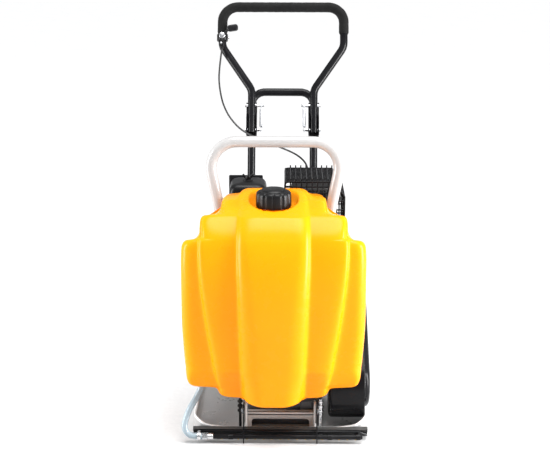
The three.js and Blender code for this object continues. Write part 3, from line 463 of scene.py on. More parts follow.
# Height, then half width and front of the centre, middle and outer lobes, the rear, and the block behind.
LEVELS = [
    (106, 40, -330, 46, -306, 54, -300, -276, 46, -262), (108, 50, -338, 57, -302, 64, -298, -274, 52, -258),
    (113, 64, -344, 71, -297, 78, -295, -272, 64, -256),
    (115.6, 68, -345, 76, -296, 84, -294, -272, 72, -256),
    (116, 68.5, -345, 100, -296, 108, -293, -272, 74, -256),
    (117.4, 69, -345, 113, -297, 119, -293, -272, 75, -256),
    (121, 69.5, -345, 120, -299, 126, -294, -272, 76, -256),
    (131, 70.5, -345, 125, -302, 131, -294, -272, 80, -256),
    (139.6, 71, -345, 127, -305, 135, -292, -272, 84, -256),
    (140.2, 71, -345, 127, -305, 170, -291, -272, 85, -256),
    (140.9, 71, -345, 127, -305, 187, -291, -272, 85, -256),
    (143.5, 71, -345, 128, -306, 196, -294, -272, 86, -256),
    (149, 71, -345, 129.5, -308, 202, -297, -272, 86, -256),
    (164, 72, -345, 133, -313, 206, -299, -270, 86, -254),
    (182, 73, -345, 137, -319.4, 208, -300, -252, 87, -236),
    (187, 73, -345, 138, -321.2, 208, -300, -247, 87, -230),
    (191, 73, -345, 139, -321.9, 209, -300, -243, 87, -226),
    (196, 73, -345, 140, -322, 210, -300, -238, 87, -221),
    (215, 74, -345, 142, -322, 211, -300, -224, 87, -207),
    (240, 75, -345, 146, -322, 213, -300, -198, 88, -180),
    (270, 76, -345, 151, -322, 215, -300, -175, 89, -140),
    (300, 77, -345, 156, -322, 216, -300, -172, 90, -112),
    (340, 78, -343, 161, -321, 216, -300, -172, 90, -112),
    (380, 79.5, -339.4, 166, -318.5, 216, -299.5, -172, 90, -112),
    (420, 81, -333.4, 170, -314, 216, -297.5, -172, 91, -112),
    (455, 82, -326, 172, -308, 216, -294, -172, 92, -112),
    (478, 82, -319, 172, -302, 215, -290, -172, 94, -112),
    (488, 82, -315.3, 172, -299, 214, -287, -172, 96, -112),
    (496, 82, -312, 172, -296, 210.5, -283, -172, 98, -112),
    (500.5, 82, -309.8, 172, -294, 205, -279, -172, 99, -112),
    (502, 82, -309, 172, -293.3, 199, -276, -172, 99, -112),
    (502.6, 82, -308.7, 172, -293, 184, -273, -172, 99, -112),
    (503.2, 82, -308.4, 167, -292.7, 172, -270, -172, 99.5, -112),
    (510, 82, -304.4, 167, -289, 171.9, -266, -172, 103, -112),
    (522, 81.5, -296.8, 167, -279.5, 171.7, -260, -172, 108, -112),
    (533, 81, -287.6, 167, -268.5, 171.3, -250, -172, 112, -112),
    (540, 80.5, -281, 165.5, -260.5, 170, -243, -172, 115, -112),
    (545.5, 80, -275.2, 162, -253, 166.5, -237, -172, 117, -112),
    (548.6, 80, -271.5, 155, -247, 160, -232, -172, 118, -112),
    (549.6, 79.6, -269.8, 134, -243.6, 139, -230, -172, 118, -112),
    (550.4, 79.2, -267.4, 121, -240, 125, -227, -169, 118, -112),
    (555, 78, -254, 120.5, -226, 124.5, -214, -160, 118, -112.5),
    (562, 77, -230, 120, -205, 124, -194, -151, 117.5, -113),
    (567, 77, -213, 118.5, -191, 122.5, -183, -148, 117, -114),
    (569.6, 77, -203, 112, -184, 116, -176, -145, 112, -115),
    (570.4, 77, -199, 93, -180, 97, -172, -142, 93, -115),
    (572, 76, -192, 85, -174, 89, -166, -140, 85, -115), (576, 74, -175, 78, -162, 82, -156, -134, 78, -116),
    (581.5, 70, -153, 73, -146, 77, -142, -128, 73, -118),
    (584, 62, -141, 65, -137, 69, -133, -125, 65, -121),
    (584.8, 50, -134, 53, -131, 57, -128, -124, 53, -122),
]
# The lobes' tops fall away to the rear: half width and height where each starts, its front edge, the width of
# the step beside it and the height over which the fall grows.
FALLS = ((172, 404, -286, 8, 96), (131, 506, -240, 7, 42))
FALL = 0.3


def settle(x, y, z):
    """Lowers the rear part of the middle and outer lobes' tops."""
    drop, taken = 0.0, 0.0
    for start, foot, front, width, height in FALLS:
        across = min(max((abs(x - TANK_X) - start) / width, 0), 1) - taken
        up = min(max((z - foot) / height, 0), 1)
        drop += FALL * max(y - front, 0) * across * up * up * (3 - 2 * up)
        taken += across
    return z - drop


def tank_outline(level):
    z, cw, cy, mw, my, ow, oy, yb, bw, by = level
    rc, rm = my - cy, min(22, max(oy - my, 1), (mw - cw) / 2)
    rx = min(1.9 * rc, 0.6 * cw)
    ro = min(26, (yb - oy) / 2.2, max((ow - mw) / 1.2, 1))
    rr = min(18, (yb - oy) / 2.4, max((ow - mw) / 1.4, 1))
    rb = min(12, (by - yb) / 3)
    side = [(cw * 0.28, cy + 0.004 * rc)]
    side += [(cw - rx + rx * math.sin(t), cy + rc * (1 - math.cos(t))) for t in (0.12, 0.42, 0.72, 1.0, 1.25)]
    side += [(cw + 0.03 * rx, cy + 0.9 * rc), (cw + 0.09 * rx + 1, my + 0.03 * rc),
             (cw + 0.3 * rx + 2, my + 0.4),
            (mw - 1.6 * rm, my), (mw - 0.55 * rm, my + 0.08 * rm), (mw - 0.15 * rm, my + 0.36 * rm),
            (mw + 0.02 * rm, my + 0.8 * rm), (min(mw + 0.16 * rm + 1, ow - ro - 0.4), oy)]
    side += [(ow - ro + ro * math.sin(t), oy + ro - ro * math.cos(t)) for t in (0, 0.39, 0.79, 1.18, 1.57)]
    side += [(ow, (oy + ro + yb - rr) / 2)]
    side += [(ow - rr + rr * math.cos(t), yb - rr + rr * math.sin(t)) for t in (0, 0.52, 1.05, 1.57)]
    side += [(min(bw + rb, ow - rr - 1), yb), (bw + 0.3 * rb, yb + 0.3 * rb), (bw, (yb + by) / 2)]
    side += [(bw - rb + rb * math.cos(t),
              by - rb + rb * math.sin(t)) for t in (0, 0.79, 1.57)] + [(bw * 0.45, by)]
    ring_ = [(0, cy)] + side + [(0, by)] + [(-x, y) for x, y in reversed(side)]
    return [(x + TANK_X, y, settle(x + TANK_X, y, z)) for x, y in ring_]


def sink_dish(vertices):
    """Presses the dish round the neck into the tank's top."""
    for v in vertices:
        x, y, z = (c / MM for c in v.co)
        r = math.hypot(x - NECK_X, y - NECK_Y)
        if z > 500 and r < DISH_OUT:
            up = (1 - math.cos(min((r - DISH_FLAT) / BANK, 1) * math.pi)) / 2
            floor = DISH if r < DISH_FLAT else DISH + RISE * up
            if z > floor - BLEND:
                t = min(max((z - floor + BLEND) / (2 * BLEND), 0), 1)
                v.co.z = (z * (1 - t) + floor * t) * MM


def make_tank():
    shape = stack([tank_outline(level) for level in LEVELS])
    obj = mesh("water_tank_shell", shape, "machine", "yellow", sharp=180)
    bm = bmesh.new()
    bm.from_mesh(obj.data)
    ends = [f for f in bm.faces if len(f.verts) > 8]
    for f in ends:
        top = bmesh.ops.inset_region(bm, faces=[f], thickness=0.006)["faces"]
        bmesh.ops.triangulate(bm, faces=[g for g in top if len(g.verts) > 8] or [f])
    bm.to_mesh(obj.data)
    bm.free()
    m = obj.modifiers.new("smooth", "SUBSURF")
    m.levels = m.render_levels = 2
    dense = bpy.data.meshes.new_from_object(obj.evaluated_get(bpy.context.evaluated_depsgraph_get()))
    obj.modifiers.clear()
    sink_dish(dense.vertices)
    for p in dense.polygons:
        p.use_smooth = True
    obj.data = dense
    dense.materials.clear()
    dense.materials.append(LOOK["yellow"])
    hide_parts("water_tank")
    neck = lathe([(0, 540), (32, 540), (32, 577), (31, 579), (28, 579), (28, 545), (0, 545)], 72,
                 Matrix.Translation((NECK_X, NECK_Y, 0)))
    mesh("water_tank_neck", neck, "machine", "yellow")


make_tank()


def make_tank_cap():
    def scallop(t, k):
        return 1 - (0.055 if 2 <= k <= 9 else 0) * max(0, math.cos(12 * t)) ** 2

    profile = [(0, 558), (38, 558), (41.2, 557.6), (42.2, 559), (42.2, 562), (42.2, 570), (42.1, 578),
               (41.9, 584),
               (41.2, 588), (39.4, 591.4), (36.5, 593.6), (33, 594.8), (31, 595.2), (29.6, 596),
               (28.6, 597.8),
               (26, 598.8), (14, 599.7), (0, 599.9)]
    mesh("tank_cap_knob", lathe(profile, 192, Matrix.Translation((NECK_X, NECK_Y, 0)), scallop), "water_cap",
         "satin", "tank_cap", sharp=50)


make_tank_cap()


# ---------- roll bar, bracket, deck and mounts ----------
ROLL_X, ROLL_Y, ROLL_R = -15.5, -150, 13.5
ROLL_LEFT, ROLL_RIGHT, ROLL_BEND = ROLL_X - 112, ROLL_X + 112, 430
DECK_LEFT, DECK_RIGHT, DECK_FRONT, DECK_REAR, DECK_TOP = -156, 113, -172, 225, 184
MOUNT_X, MOUNT_FRONT, MOUNT_REAR, MOUNT_Z = 84, -105, 190, 130.3


def make_roll_bar():
    path = bent([(ROLL_LEFT, ROLL_Y, 187), (ROLL_LEFT, ROLL_Y, ROLL_BEND), (ROLL_X - 167, -122, 697.6),
                 (ROLL_X + 167, -122, 697.6), (ROLL_RIGHT, ROLL_Y, ROLL_BEND), (ROLL_RIGHT, ROLL_Y, 187)],
                 62, 16)
    shapes = [tube(spaced(path, 9), ROLL_R, 36)]
    for x in (ROLL_LEFT, ROLL_RIGHT):
        shapes.append(block(x - 24, min(x + 24, DECK_RIGHT), -180, -118, 184.3, 190, 2))
        shapes.append(lathe([(ROLL_R, 190), (17, 190), (14.5, 192.5), (ROLL_R, 194), (ROLL_R, 190)], 36,
                            Matrix.Translation((x, ROLL_Y, 0))))
        for y in (-171, -128):
            shapes += bolt_head("z", x - 15, y, 190, 195.5, 6)
    mesh("roll_bar_pipe", shapes, "machine", "frame", "roll_bar")


def make_tank_bracket():
    back = -136.2
    shapes = [block(ROLL_LEFT - 12, ROLL_RIGHT + 12, -111.6, -107, 330, 362, 1.5)]
    for x, s in ((ROLL_LEFT, -1), (ROLL_RIGHT, 1)):
        shapes += [block(*sorted((x + s * 7, x + s * 12)), back + 1, -107, 330, 362, 1),
                   block(x - 12, x + 12, back, back + 5, 330, 362, 1)]
        shapes += bolt_head("y", -(x - s * 26), 346, -107, -102, 6)
    mesh("tank_bracket_plate", shapes, "machine", "black", "tank_bracket")


def make_deck():
    x0, x1, y0, y1 = DECK_LEFT, DECK_RIGHT, DECK_FRONT, DECK_REAR
    shapes = [block(x0, x1, y0, y1, 178, DECK_TOP, 1.5), block(x0, x0 + 5, y0, y1, 153, 180, 1.5),
              block(x1 - 5, x1, y0, y1, 153, 180, 1.5), block(x0, x1, y1 - 5, y1, 153, 180, 1.5),
              block(x0, x1, y0, y0 + 5, 161, 180, 1.5)]
    for x in (-MOUNT_X, MOUNT_X):
        for y in (MOUNT_FRONT, MOUNT_REAR):
            shapes += bolt_head("z", x, y, DECK_TOP, 190, 7)
    mesh("engine_deck_pan", shapes, "machine", "black", "engine_deck")


def make_mounts():
    z = MOUNT_Z
    profile = [(0, z + 3), (21, z + 3), (21.6, z + 5), (20.5, z + 8), (18.6, z + 12), (18, z + 23.7),
               (18.6, z + 35), (20.5, z + 39.4), (21.6, z + 42.4), (21, z + 44.4), (0, z + 44.4)]
    for row, y in (("front", MOUNT_FRONT), ("rear", MOUNT_REAR)):
        for side, x in (("l", -MOUNT_X), ("r", MOUNT_X)):
            mesh(f"mount_rubber_{row}_{side}", lathe(profile, 48, Matrix.Translation((x, y, 0))), "machine",
                 "rubber", f"rubber_mount_{row}_{side}")
            mesh(f"mount_plates_{row}_{side}", [rod("z", x, y, 22, z, z + 3, 48, 0.5),
                                               rod("z", x, y, 22, z + 44.4, z + 47.4, 48, 0.5)], "machine",
                                               "zinc")


make_roll_bar()
make_tank_bracket()
make_deck()
make_mounts()


# ---------- base plate, mat, straps and spray bar ----------
WIDE, FRONT, REAR, UPTURN, CORNER, SHEET = 420, -288, 270, 55, 52, 6
SOLE = 8.3
FLOOR = SOLE + SHEET
RIM = 52


def plate_plan(inwards):
    """Plan of the plate moved inwards, with extra points along its straight sides."""
    x, y0, y1, r = WIDE / 2 - inwards, FRONT + inwards, REAR - inwards, CORNER - inwards
    points = rounded(-x, y0, x, y1, r, 14)
    out = []
    for (ax, ay), (bx, by) in zip(points, points[1:] + points[:1]):
        parts = max(1, round(math.hypot(bx - ax, by - ay) / 12))
        out += [(ax + (bx - ax) * k / parts, ay + (by - ay) * k / parts) for k in range(parts)]
    return out


def rim_height(x, y):
    """The rim is low across both ends, and sweeps up to the full height of the sides."""
    if FRONT + UPTURN < y < REAR - UPTURN:
        return RIM
    low = 29.5 if y < 0 else 40
    t = min(max((abs(x) - 120) / 84, 0), 1)
    return low + (RIM - low) * t ** 1.8


def plate_ring(inwards, depth, share):
    """Ring of the tray's skin: share 0 is the floor and 1 the rim; depth is the distance from the outer skin."""
    out = []
    for x, y in plate_plan(inwards):
        z = SOLE + depth + (rim_height(x, y) - SOLE - depth) * share
        reach = math.sqrt(max((UPTURN - depth) ** 2 - (SOLE + UPTURN - min(z, SOLE + UPTURN)) ** 2, 0))
        out.append((x, min(max(y, FRONT + UPTURN - reach), REAR - UPTURN + reach), z))
    return out


def make_base_plate():
    shares = [0, 0.02, 0.06, 0.12, 0.2, 0.3, 0.42, 0.55, 0.7, 0.85, 0.95]
    rings = [plate_ring(0, 0, s) for s in shares]
    rings += [plate_ring(0.6, 0.6, 0.985), plate_ring(1.8, 1.8, 1), plate_ring(4.2, 4.2, 1),
              plate_ring(5.4, 5.4, 0.985)]
    rings += [plate_ring(SHEET, SHEET, s) for s in reversed(shares[3:])]
    rings += [plate_ring(SHEET + 2, SHEET, 0.05), plate_ring(SHEET + 6, SHEET, 0.0)]
    tray = mesh("base_plate_body", stack(rings), "machine", "plate", "base_plate", sharp=60)
    # The faces round the top of the lip, outside and inside, take the near-white rim finish, a painted highlight.
    tray.data.materials.append(LOOK["rim"])
    n = len(rings[0])
    edge = range(len(shares) - 2, len(shares) + 5)
    for face in tray.data.polygons:
        lowest = min(face.vertices) // n
        if lowest in edge and len(face.vertices) == 4:
            face.material_index = 1
    shapes = []
    for x in (-83, 83):
        side = ([(-262, FLOOR - 2), (-270, 36)] + arc(-261, 82, 8, 180, 90, 5) + arc(-252, 82, 8, 90, 10, 5)
                + [(-232, 52), (-222, 44), (196, 44), (206, 38), (220, 18), (215, FLOOR - 2)])
        shapes.append(prism("x", side, x - 2.5, x + 2.5, 1.0, 2))
    slot_top = arc(-62, 29, 8, 90, 180, 6)
    cross = ([(-82, 54), (-82, FLOOR - 2), (-70, FLOOR - 2)] + slot_top[::-1]
             + [(-x, z) for x, z in slot_top] + [(70, FLOOR - 2), (82, FLOOR - 2), (82, 54)])
    shapes.append(prism("y", cross, -243, -236, 0.8, 2))
    flange = arc(-239, 50, 4, 180, 90, 4) + [(-226, 54), (-226, 48), (-237, 48), (-243, 47)]
    shapes.append(prism("x", flange, -82, 82, 0.6, 2))
    for x in (-MOUNT_X, MOUNT_X):
        for y in (MOUNT_FRONT, MOUNT_REAR):
            shapes += [block(x - 21, x + 21, y - 24, y - 15, FLOOR - 1, 118, 1.2),
                       block(x - 21, x + 21, y + 15, y + 24, FLOOR - 1, 118, 1.2),
                       block(x - 21, x + 21, y - 24, y + 24, 116, 130, 1.2)]
            for side in (-24, 21):
                bead = [(x - 21, FLOOR - 1), (x + 21, FLOOR - 1), (x + 21, FLOOR + 3), (x - 21, FLOOR + 3)]
                shapes.append(prism("y", [(-u, v) for u, v in bead], y + side, y + side + 3, 0.8, 2))
    mesh("base_plate_ribs", shapes, "machine", "pale")
    for side, x, look in (("l", -97, "black"), ("r", 97, "zinc")):
        stud = [rod("z", x, -256, 3.5, FLOOR - 1, 96, 24)]
        stud += [prism("z", [(x + u, -256 + v) for u, v in hexa(0, 0, 6.5)], z, z + 6, 0.8, 2)
                 for z in (FLOOR, 62, 74, 86)]
        mesh(f"plate_stud_{side}", stud, "machine", look)


MAT_BEND = (FRONT + UPTURN, SOLE + UPTURN)
MAT_R = UPTURN + SOLE


def make_mat():
    """Rubber mat under the plate, turned up in front; its front corner on the right is frayed."""
    by, bz = MAT_BEND
    start = math.degrees(math.asin((bz - 30) / MAT_R)) + 180
    turns = [start + (270 - start) * k / 18 for k in range(19)]
    outline = ([(by + MAT_R * math.cos(math.radians(a)),
                 bz + MAT_R * math.sin(math.radians(a))) for a in turns]
               + [(y, 0) for y in range(-200, 251, 30)])
    inner = ([(by + (MAT_R - 8) * math.cos(math.radians(a)), bz + (MAT_R - 8) * math.sin(math.radians(a)))
              for a in turns] + [(y, 8) for y in range(-200, 251, 30)])
    levels = []
    for k in range(72):
        x = -209 + 418 * k / 71
        fray = max(0, (x - 186) / 23)
        section = []
        for i, (y, z) in enumerate(outline + inner[::-1]):
            near = max(0, 1 - abs(min(i, len(outline) * 2 - 1 - i)) / 7)
            lump = 2.2 * math.sin(0.9 * k + 2.3 * i) * fray * near
            section.append((x, y + lump, max(z + lump * 0.6, 0)))
        levels.append(section)
    mesh("paving_mat_sheet", stack(levels), "machine", "mat", "paving_mat", sharp=50)


def make_clamp_bar():
    place = (Matrix.Translation((0, *MAT_BEND)) @ Matrix.Rotation(math.radians(42), 4, "X"))
    face = -(MAT_R + 0.3)
    outline = [(-209, -12), (209, -12), (209, -5), (188, 11), (-188, 11), (-209, -5)]
    bar, heads = [prism("y", outline, face - 5, face, 0.8, 2)], []
    for x in (-184, -97, 97, 184):
        heads += [rod("y", -x, 0, 8.6, face - 6, face - 5, 32, 0.3),
                  prism("y", hexa(-x, 0, 6.5), face - 10, face - 6,
                                                                       0.9, 2)]
    mesh("mat_clamp_plate", [moved(s, place) for s in bar], "machine", "black", "mat_clamp_bar")
    mesh("mat_clamp_bolts", [moved(s, place) for s in heads], "machine", "satin")


def make_straps():
    outline = [(-264, 40), (-302, 35), (-306, 32), (-310, 6), (-315, 6), (-311, 36), (-308, 42), (-290, 90),
               (-286, 95), (-280, 96), (-264, 96)]
    for side, x in (("l", -88.8), ("r", 85.8)):
        out = x if x < 0 else x + 3
        sign = -1 if x < 0 else 1
        strap = [prism("x", outline, x, x + 3, 0.5, 2)]
        bolt = [rod("x", -273, 72, 9, out, out + sign, 32, 0.2), prism("x", hexa(-273, 72, 7), out + sign,
                                                                     out + 5 * sign, 0.9, 2)]
        mesh(f"mat_strap_plate_{side}", strap, "machine", "black", f"mat_strap_{side}")
        mesh(f"mat_strap_bolt_{side}", bolt, "machine", "zinc")


SPRAY_Y, SPRAY_Z = -299.5, 17


def turned_x(profile, x, y, z, n=64):
    """Turned about an axis along X: profile of (radius, distance along X)."""
    return lathe(profile, n, Matrix.Translation((x, y, z)) @ Matrix.Rotation(math.radians(90), 4, "Y"))


def make_spray_bar():
    pipe = [turned_x([(0, -164), (5.5, -164), (6, -163), (6, 193), (4.8, 196), (0, 197)], 0, SPRAY_Y,
                     SPRAY_Z, 32)]
    for x in (-118, 118, 186):
        pipe += [turned_x([(6, -6), (7.2, -5), (7.2, 5), (6, 6), (6, -6)], x, SPRAY_Y, SPRAY_Z, 32),
                 block(x - 5, x + 5, SPRAY_Y, -293, SPRAY_Z - 2, SPRAY_Z + 2, 0.6)]
    mesh("spray_pipe", pipe, "machine", "black", "spray_bar")
    jets = [rod("z", x, SPRAY_Y, 2.2, SPRAY_Z - 7.2, SPRAY_Z - 4, 20, 0.4) for x in range(-140, 181, 20)]
    mesh("spray_jets", jets, "machine", "brass")
    barbs = [(0, -196), (3, -196)]
    for x in (-195, -191, -187):
        barbs += [(4.3, x), (4.3, x + 2), (3.8, x + 3)]
    barbs += [(4.3, -184), (6, -184), (6, -172), (8.1, -172), (8.1, -161), (7.4, -160), (0, -160)]
    mesh("hose_fitting_body", [turned_x(barbs, 0, SPRAY_Y, SPRAY_Z, 40),
                               prism("x", hexa(SPRAY_Y, SPRAY_Z, 9), -186, -173, 1, 2)],
         "machine", "zinc", "hose_fitting")
    band = [(8.2, -198), (9.6, -198), (9.6, -190), (8.2, -190), (8.2, -198)]
    mesh("hose_fitting_clip", [turned_x(band, 0, SPRAY_Y, SPRAY_Z, 40),
                               block(-197, -191, SPRAY_Y - 3, SPRAY_Y + 3, SPRAY_Z + 9, SPRAY_Z + 14, 0.6),
                               rod("y", 194, SPRAY_Z + 11.5, 2, SPRAY_Y - 6, SPRAY_Y + 6, 20, 0.4)],
         "machine", "zinc")


# ---------- hose, drain valve ----------
HOSE_X, HOSE_Y, VALVE_Z = -190, -252, 158


def make_hose():
    middle = smooth([(HOSE_X, HOSE_Y, 124), (-200, -262, 104), (-220, -284, 72), (-228, -300, 42),
                     (-218, -302, 23),
                     (-198, SPRAY_Y, SPRAY_Z)])
    route = spaced([(HOSE_X, HOSE_Y, 141), (HOSE_X, HOSE_Y, 128), *middle, (-187, SPRAY_Y, SPRAY_Z)], 4)
    hose = mesh("spray_hose_tube", tube(route, 7.3, 28), "machine", "clear", "spray_hose")


def make_valve():
    down = Matrix.Translation((HOSE_X, HOSE_Y, 0))
    inwards = Matrix.Translation((HOSE_X, 0, VALVE_Z)) @ Matrix.Rotation(math.radians(90), 4, "X")
    body = lathe([(0, 130), (3.2, 130), (4.2, 131), (4.2, 133), (3.7, 134), (4.2, 135), (4.2, 143),
                  (7.2, 143),
                  (8, 145), (8, 152), (9.2, 154), (9.2, 162), (8, 164), (8, 168), (7, 170), (0, 170)], 40,
                  down)
    stem = lathe([(0, 242), (7, 242), (7.6, 244), (7.6, 275.5), (0, 276)], 40, inwards)
    nut = prism("y", hexa(-HOSE_X, VALVE_Z, 12), -271.4, -263, 1.2, 2)
    mesh("drain_valve_body", [body, stem, nut], "machine", "brass", "drain_valve")
    x = HOSE_X - 19
    mesh("valve_lever_arm", [rod("x", HOSE_Y, VALVE_Z, 4, x + 4, x + 12.5, 32),
                             prism("x", rounded(HOSE_Y - 6, VALVE_Z - 6, HOSE_Y + 34, VALVE_Z + 6, 5.5, 6),
                                   x, x + 4,
                                   1.2, 3)], "water_valve", "red", "valve_lever")
    band = [(8.4, 129.5), (10, 129.5), (10, 137.5), (8.4, 137.5), (8.4, 129.5)]
    mesh("hose_clamp_band", [lathe(band, 48, down), block(HOSE_X - 11.5, HOSE_X - 6, HOSE_Y - 10, HOSE_Y - 5,
                                                          130, 137, 0.8)], "machine", "zinc", "hose_clamp")


make_base_plate()
make_mat()
make_clamp_bar()
make_straps()
make_spray_bar()
make_hose()
make_valve()


# ---------- exciter, pulleys, belt and guard ----------
EXCITER, CRANK = (-185, 110), (75, 290)


def make_exciter():
    y, z = EXCITER
    case = [turned_x([(42.2, -78), (50, -78), (52, -76), (52, 76), (50, 78), (42.2, 78), (42.2, -78)], 0, y,
                     z, 80),
            block(-78, 78, y - 40, y + 50, FLOOR + 0.3, 30, 3), block(-78, -48, y - 37, y + 37, 28, 96, 3),
            block(48, 78, y - 37, y + 37, 28, 96, 3), block(-8, 8, y - 34, y + 34, 28, 90, 2),
            rod("z", 0, y, 12, 156, 161)] + bolt_head("z", 0, y, 161, 167.5, 7)
    for x in (-66, 66):
        for side in (-28, 36):
            case += bolt_head("z", x, y + side, 30, 38, 7)
    mesh("exciter_case", case, "machine", "iron", "exciter_housing")
    lid = [(12.6, 0), (49, 0), (50, 1), (50, 7), (48, 8), (31, 8), (30, 13), (28, 14), (12.6, 14), (12.6, 0)]
    for side, sign in (("l", -1), ("r", 1)):
        shapes = [turned_x([(r, sign * (78.3 + x)) for r, x in lid], 0, y, z)]
        for k in range(6):
            t = math.radians(30 + 60 * k)
            shapes.append(prism("x", hexa(y + 41 * math.cos(t), z + 41 * math.sin(t), 4.5), sign * 86,
                                sign * 90.5,
                                0.7, 2))
        mesh(f"exciter_lid_{side}", shapes, "machine", "iron", f"exciter_cover_{side}")
    weight = arc(y, z, 37, 180, 360, 28) + [(y + 37, z + 4), (y - 37, z + 4)]
    shaft = turned_x([(0, -82), (11, -82), (12, -81), (12, 173), (11, 174), (0, 174)], 0, y, z)
    mesh("exciter_shaft_body", [shaft, prism("x", weight, -58, 58, 1.5, 2)], "exciter", "steel",
         "exciter_shaft")


def pulley(centre, r, hub, bore):
    """Grooved pulley whose groove is at X 163."""
    rim, root = r + 4, r - 6
    return turned_x([(bore, -13), (rim - 1, -13), (rim, -12), (rim, -8.5), (root, -5), (root, 5),
                     (rim, 8.5), (rim, 12),
                     (rim - 1, 13), (hub + 2, 13), (hub, 11), (hub, 4), (bore, 4), (bore, -13)], 163,
                     *centre, 80)


def make_drive():
    mesh("exciter_pulley_body", pulley(EXCITER, 42, 30, 12.3), "exciter", "steel", "exciter_pulley")
    drum = [pulley(CRANK, 60, 46, 15.3)]
    for k in range(3):
        t = math.radians(120 * k + 20)
        drum.append(rod("x", CRANK[0] + 30 * math.cos(t), CRANK[1] + 30 * math.sin(t), 6, 166, 170, 24))
    mesh("clutch_drum_body", drum, "crank", "steel", "clutch_drum")
    rings = [[(x, y, z) for y, z in loop((*EXCITER, 42 + a), (*CRANK, 60 + a))]
             for x, a in ((157, 4), (169, 4), (166.5, -4), (159.5, -4))]
    n = len(rings[0])
    faces = [(k * n + i, k * n + (i + 1) % n, (k + 1) % 4 * n + (i + 1) % n, (k + 1) % 4 * n + i)
             for k in range(4) for i in range(n)]
    mesh("drive_belt_loop", ([p for r in rings for p in r], faces), "machine", "rubber", "drive_belt")


def hull(grow):
    return loop((*EXCITER, 85 + grow), (*CRANK, 82 + grow))


def bulge(grow):
    return loop((*EXCITER, 60 + grow), (*CRANK, 58 + grow))


def cup(outline, x_open, x_closed, wall, edge):
    """Pressed tub along X: outline(grow) is its side view, and its closed end has rounded edges."""
    s = 1 if x_closed > x_open else -1
    turns = [math.pi / 2 * k / 8 for k in range(9)]
    outside = [(x_open, 0)] + [(x_closed - s * edge * (1 - math.sin(t)),
                                -edge * (1 - math.cos(t))) for t in turns]
    inside = [(x if x == x_open else x - s * wall, grow - wall) for x, grow in reversed(outside)]
    return stack([[(x, y, z) for y, z in outline(grow)] for x, grow in outside + inside])


def make_guard():
    shell = cup(hull, 200, 117, 3, 9)
    n = len(hull(0))
    closing = [f for f in shell[1] if len(f) == 4]
    rows = len(shell[0]) // n
    half = rows // 2
    caps = [tuple(range((half - 1) * n, half * n)), tuple(range(half * n, (half + 1) * n))]
    step = [f for f in closing if not (f[0] // n == half - 1 and f[2] // n == half)]
    lip = [((rows - 1) * n + i, (rows - 1) * n + (i + 1) % n, (i + 1) % n, i) for i in range(n)]
    mesh("belt_guard_shell", (shell[0], step + caps + lip), "machine", "black", "belt_guard")
    rows = [(200.3, -1), (201.6, -1), (202.4, -1.6), (202.6, -3)]
    levels = [[(x, y, z) for y, z in hull(g)] for x, g in rows]
    rows = [(202.6, 3), (203.2, 0.8), (204.6, 0), (208, -1), (211.5, -3), (214.4, -6.5), (216.3, -11.5),
            (217.2, -18), (217.3, -34)]
    levels += [[(x, y, z) for y, z in bulge(g)] for x, g in rows]
    lid = [stack(levels)]
    ends = ((EXCITER, (190, 260)), (CRANK, (340, 75)))
    for (y, z), turns in ends:
        for a in turns:
            t = math.radians(a)
            lid += bolt_head("x", y + 74 * math.cos(t), z + 74 * math.sin(t), 202.6, 207, 5)
    mesh("belt_guard_lid", lid, "machine", "black", "belt_guard_cover")


make_exciter()
make_drive()
make_guard()


# ---------- engine ----------
LEAN = Matrix.Translation((0, *CRANK)) @ Matrix.Rotation(math.radians(65), 4, "X")
CLEANER_X, CLEANER_Y = -83.5, -38


def make_crankcase():
    y, z = CRANK
    side = ([(8, 196), (142, 196), (150, 230)] + arc(138, 330, 12, 0, 45, 4) + arc(116, 350, 12, 45, 90, 4)
            + [(40, 362), (2, 322), (2, 220)])
    shapes = [prism("z", rounded(-82, -8, 82, 158, 12), 184.3, 198, 2), prism("x", side, -68, 72, 5, 4),
              rod("x", y, z, 46, 70, 86, 64, 2), rod("x", 20, 262, 8, 70, 116.7, 32),
              rod("x", 20, 232, 8, 70, 116.7, 32), rod("y", -46, 222, 15, 145, 158, 40, 2)]
    shapes.append(prism("x", ring(y, z, 62, 64), 70, 76, 2, 2))
    for k in range(6):
        t = math.radians(60 * k + 15)
        shapes += bolt_head("x", y + 54 * math.cos(t), z + 54 * math.sin(t), 76, 82, 4)
    for x in (-70, 70):
        for at in (4, 146):
            shapes += bolt_head("z", x, at, 198, 205, 6)
    shapes += [block(x, x + 3, 146, 155, 236, 330, 1) for x in (-50, -25, 0, 25, 50)]
    mesh("crankcase_casting", shapes, "machine", "alloy", "crankcase")
    crank = [turned_x([(0, -104), (15, -104), (15, 173), (14, 174), (0, 174)], 0, y, z),
             turned_x([(15, -112), (72, -112), (72, -98), (15, -98), (15, -112)], 0, y, z)]
    for k in range(16):
        t = 2 * math.pi * k / 16
        blade = Matrix.Translation((0, y, z)) @ Matrix.Rotation(t, 4, "X")
        crank.append(moved(block(-112, -104, 40, 70, -1.5, 1.5, 0.5), blade))
    mesh("crankshaft_body", crank, "crank", "steel", "crankshaft")
    grip = [(43, 166), (43, 182), (49, 182), (49, 166)]
    mesh("oil_dipstick_cap",
         [rod("y", -46, 222, 7.8, 132, 160, 32), rod("y", -46, 222, 13, 158.3, 168, 40, 1.5),
                              prism("z", grip, 212, 232, 1.5, 3)], "dipstick", "satin", "oil_dipstick")


